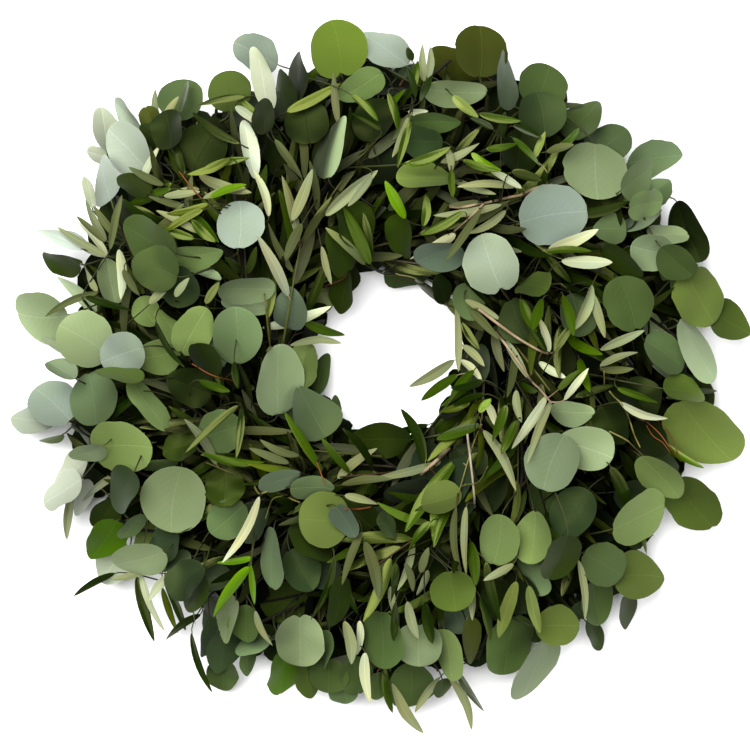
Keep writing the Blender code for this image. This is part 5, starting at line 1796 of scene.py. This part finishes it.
def buildStemPiece(name, stem, patterns, materials, rng):
    # A stem with its twigs and leaves; the numbers are the places of the materials
    piece = PieceMesh()
    route = smoothRoute(stem.route, 4)
    halves = np.interp(np.linspace(0, 1, len(route)), np.linspace(0, 1, len(stem.halves)), stem.halves)
    # painted shade: the main stem, which lies deep under the foliage, has a quarter of its bark's tone
    piece.add(*roundTube(route, list(halves), 10), 2, colour=[paintedDepthLook["stem"]] * 3)
    look = roundLeaf if stem.kind == "round" else oliveLeaf
    for twig in stem.twigs:
        addTwig(piece, twig)
    for leaf in stem.leaves:
        faces, sides = patterns[stem.kind][leaf.grade]
        spots, marks = fineBlade(leaf, look, rng)
        colour, bright = leafColour(leaf, rng)
        # bed leaves, and side leaves deep under the top, take the dull copy on their upper faces as painted
        # shade
        if leaf.grade == "bed":
            sides = [1 if side else 4 for side in sides]
        elif leaf.grade == "side" and howDeep(leaf) > paintedDepthLook["dull"]:
            sides = [4] * len(sides)
        elif isSilver(leaf):
            sides = [1 - side for side in sides]
        piece.add(spots, faces, sides, marks, colour, bright, paintedLeafShade(leaf, marks, rng))
        addPetiole(piece, stem, leaf, rng)
    return piece.build(name, materials)


wireLook = {
    "onFlats": 1.004, "railSteps": 144, "railSides": 12, "braceSides": 10, "bead": 1.35, "squat": 0.8,
}


def wireRods():
    # Four round rails and the arched braces over them, with a bead of weld at each crossing
    piece = PieceMesh()
    wire = ring["wire"] / 2
    for radius, underside in ring["rails"].values():
        points = [polar(radius * wireLook["onFlats"], 360 * step / wireLook["railSteps"], underside + wire)
                  for step in range(wireLook["railSteps"])]
        piece.add(*roundTube(points, [wire] * len(points), wireLook["railSides"], closed=True), 0)
    for brace in range(ring["braces"]):
        points = bracePoints(brace)
        route = smoothRoute(points, 4)
        thick = wire * ring["brace"]["slim"]
        piece.add(*roundTube(route, [thick] * len(route), wireLook["braceSides"]), 0)
        for index in (0, 2, 3, 5):
            piece.add(*weldBead(points[index], wire * wireLook["bead"]), 0)
    return piece


def weldBead(middle, radius):
    # A squat blob where two rods are welded
    work = bmesh.new()
    bmesh.ops.create_icosphere(work, subdivisions=2, radius=radius)
    flat = Vector((1, 1, wireLook["squat"]))
    spots = np.array([tuple(middle + corner.co * flat) for corner in work.verts])
    faces = [tuple(corner.index for corner in face.verts) for face in work.faces]
    work.free()
    return spots, faces


def paleFloor():
    half = studio["floorSide"] / 2
    mesh = bpy.data.meshes.new("studioFloor")
    corners = [(x * half, y * half, -studio["floorDrop"]) for x, y in ((-1, -1), (1, -1), (1, 1), (-1, 1))]
    mesh.from_pydata(corners, [], [(0, 1, 2, 3)])
    floor = addObject("studioFloor", mesh)
    paper = Finish("studioPaper")
    paper.sockets["Base Color"].default_value = (*[studio["floorColour"]] * 3, 1.0)
    paper.sockets["Roughness"].default_value = studio["floorRough"]
    mesh.materials.append(paper.material)


def softbox(name, target):
    lamp = bpy.data.lights.new(name + "Light", "AREA")
    lamp.shape = "DISK"
    lamp.energy, lamp.size = studio[name + "Power"], studio[name + "Size"]
    made = addObject(name + "Light", lamp)
    made.location = studio[name + "At"]
    made.rotation_euler = (target - made.location).to_track_quat("-Z", "Y").to_euler()


print("laying out the stems and leaves")
stems = layOut()
print("leaves in all:", sum(len(stem.leaves) for stem in stems))

print("mixing the finishes")
galvanised = barkMaterial("galvanisedWire", "galvanised")
enamel = barkMaterial("greenBindingWire", "greenEnamel")
finishes, patterns = {}, {}
for kind, word, look in (("round", "eucalyptus", roundLeaf), ("olive", "olive", oliveLeaf)):
    # each kind has a dull copy of its upper finish, with less gloss and no sheen, as painted shade for leaves
    # deep among the others
    upper, under, deep = (leafMaterial(word + "Leaf", look, side) for side in ("Upper", "Under", "ShadedDull"))
    finishes[kind] = [
        upper, under, barkMaterial(word + "Bark", kind + "Bark"), barkMaterial(word + "Twig", "twig"), deep,
    ]
    patterns[kind] = {grade: bladePattern(*shape) for grade, shape in look["detail"].items()}

print("growing the fine stems and leaves")
lookRng = random.Random(layoutSeed + 2)
counts = {"round": 0, "olive": 0}
words = {"round": "eucalyptus_spray", "olive": "olive_sprig"}
triangles = 0
for stem in stems:
    counts[stem.kind] += 1
    nodeName = f"{words[stem.kind]}_{counts[stem.kind]:02d}"
    piece = buildStemPiece(nodeName + "_fine", stem, patterns, finishes[stem.kind], lookRng)
    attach(piece, "root")
    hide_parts(nodeName)
    triangles += sum(len(face.vertices) - 2 for face in piece.data.polygons)
print("foliage triangles:", triangles)

print("winding the ring")
rods = wireRods().build("wire_frame_fine", [galvanised])
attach(rods, "root")
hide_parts("wire_frame")
coil = PieceMesh()
coilRoute = bindingRoute()
coilRoute = smoothRoute(coilRoute + coilRoute[:1], 4)[:-1]
coil.add(*roundTube(coilRoute, [binding["radius"]] * len(coilRoute), 8, closed=True), 0)
winding = coil.build("binding_wire_fine", [enamel])
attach(winding, "root")
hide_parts("binding_wire")

print("setting the floor, light and camera")
paleFloor()
lightsAim = Vector((ringMiddle.x, ringMiddle.y, studio["lightsAim"]))
softbox("key", lightsAim)
softbox("fill", lightsAim)
world = bpy.data.worlds.new("studioSky")
world.use_nodes = True
daylight = world.node_tree.nodes["Background"].inputs
daylight["Color"].default_value = (1.0, 1.0, 1.0, 1.0)
daylight["Strength"].default_value = studio["sky"]
bpy.context.scene.world = world
bpy.context.scene.view_settings.view_transform = "Standard"

cameraData = bpy.data.cameras.new("photoCamera")
cameraData.lens = studio["lens"]
cameraData.sensor_width = studio["sensor"]
cameraData.sensor_fit = "HORIZONTAL"
cameraData.clip_end = studio["farthest"]
camera = addObject("photoCamera", cameraData)
camera.location = ringMiddle + atPixel(*photo["middle"]) + Vector((0, 0, studio["cameraHeight"]))
bpy.context.scene.camera = camera
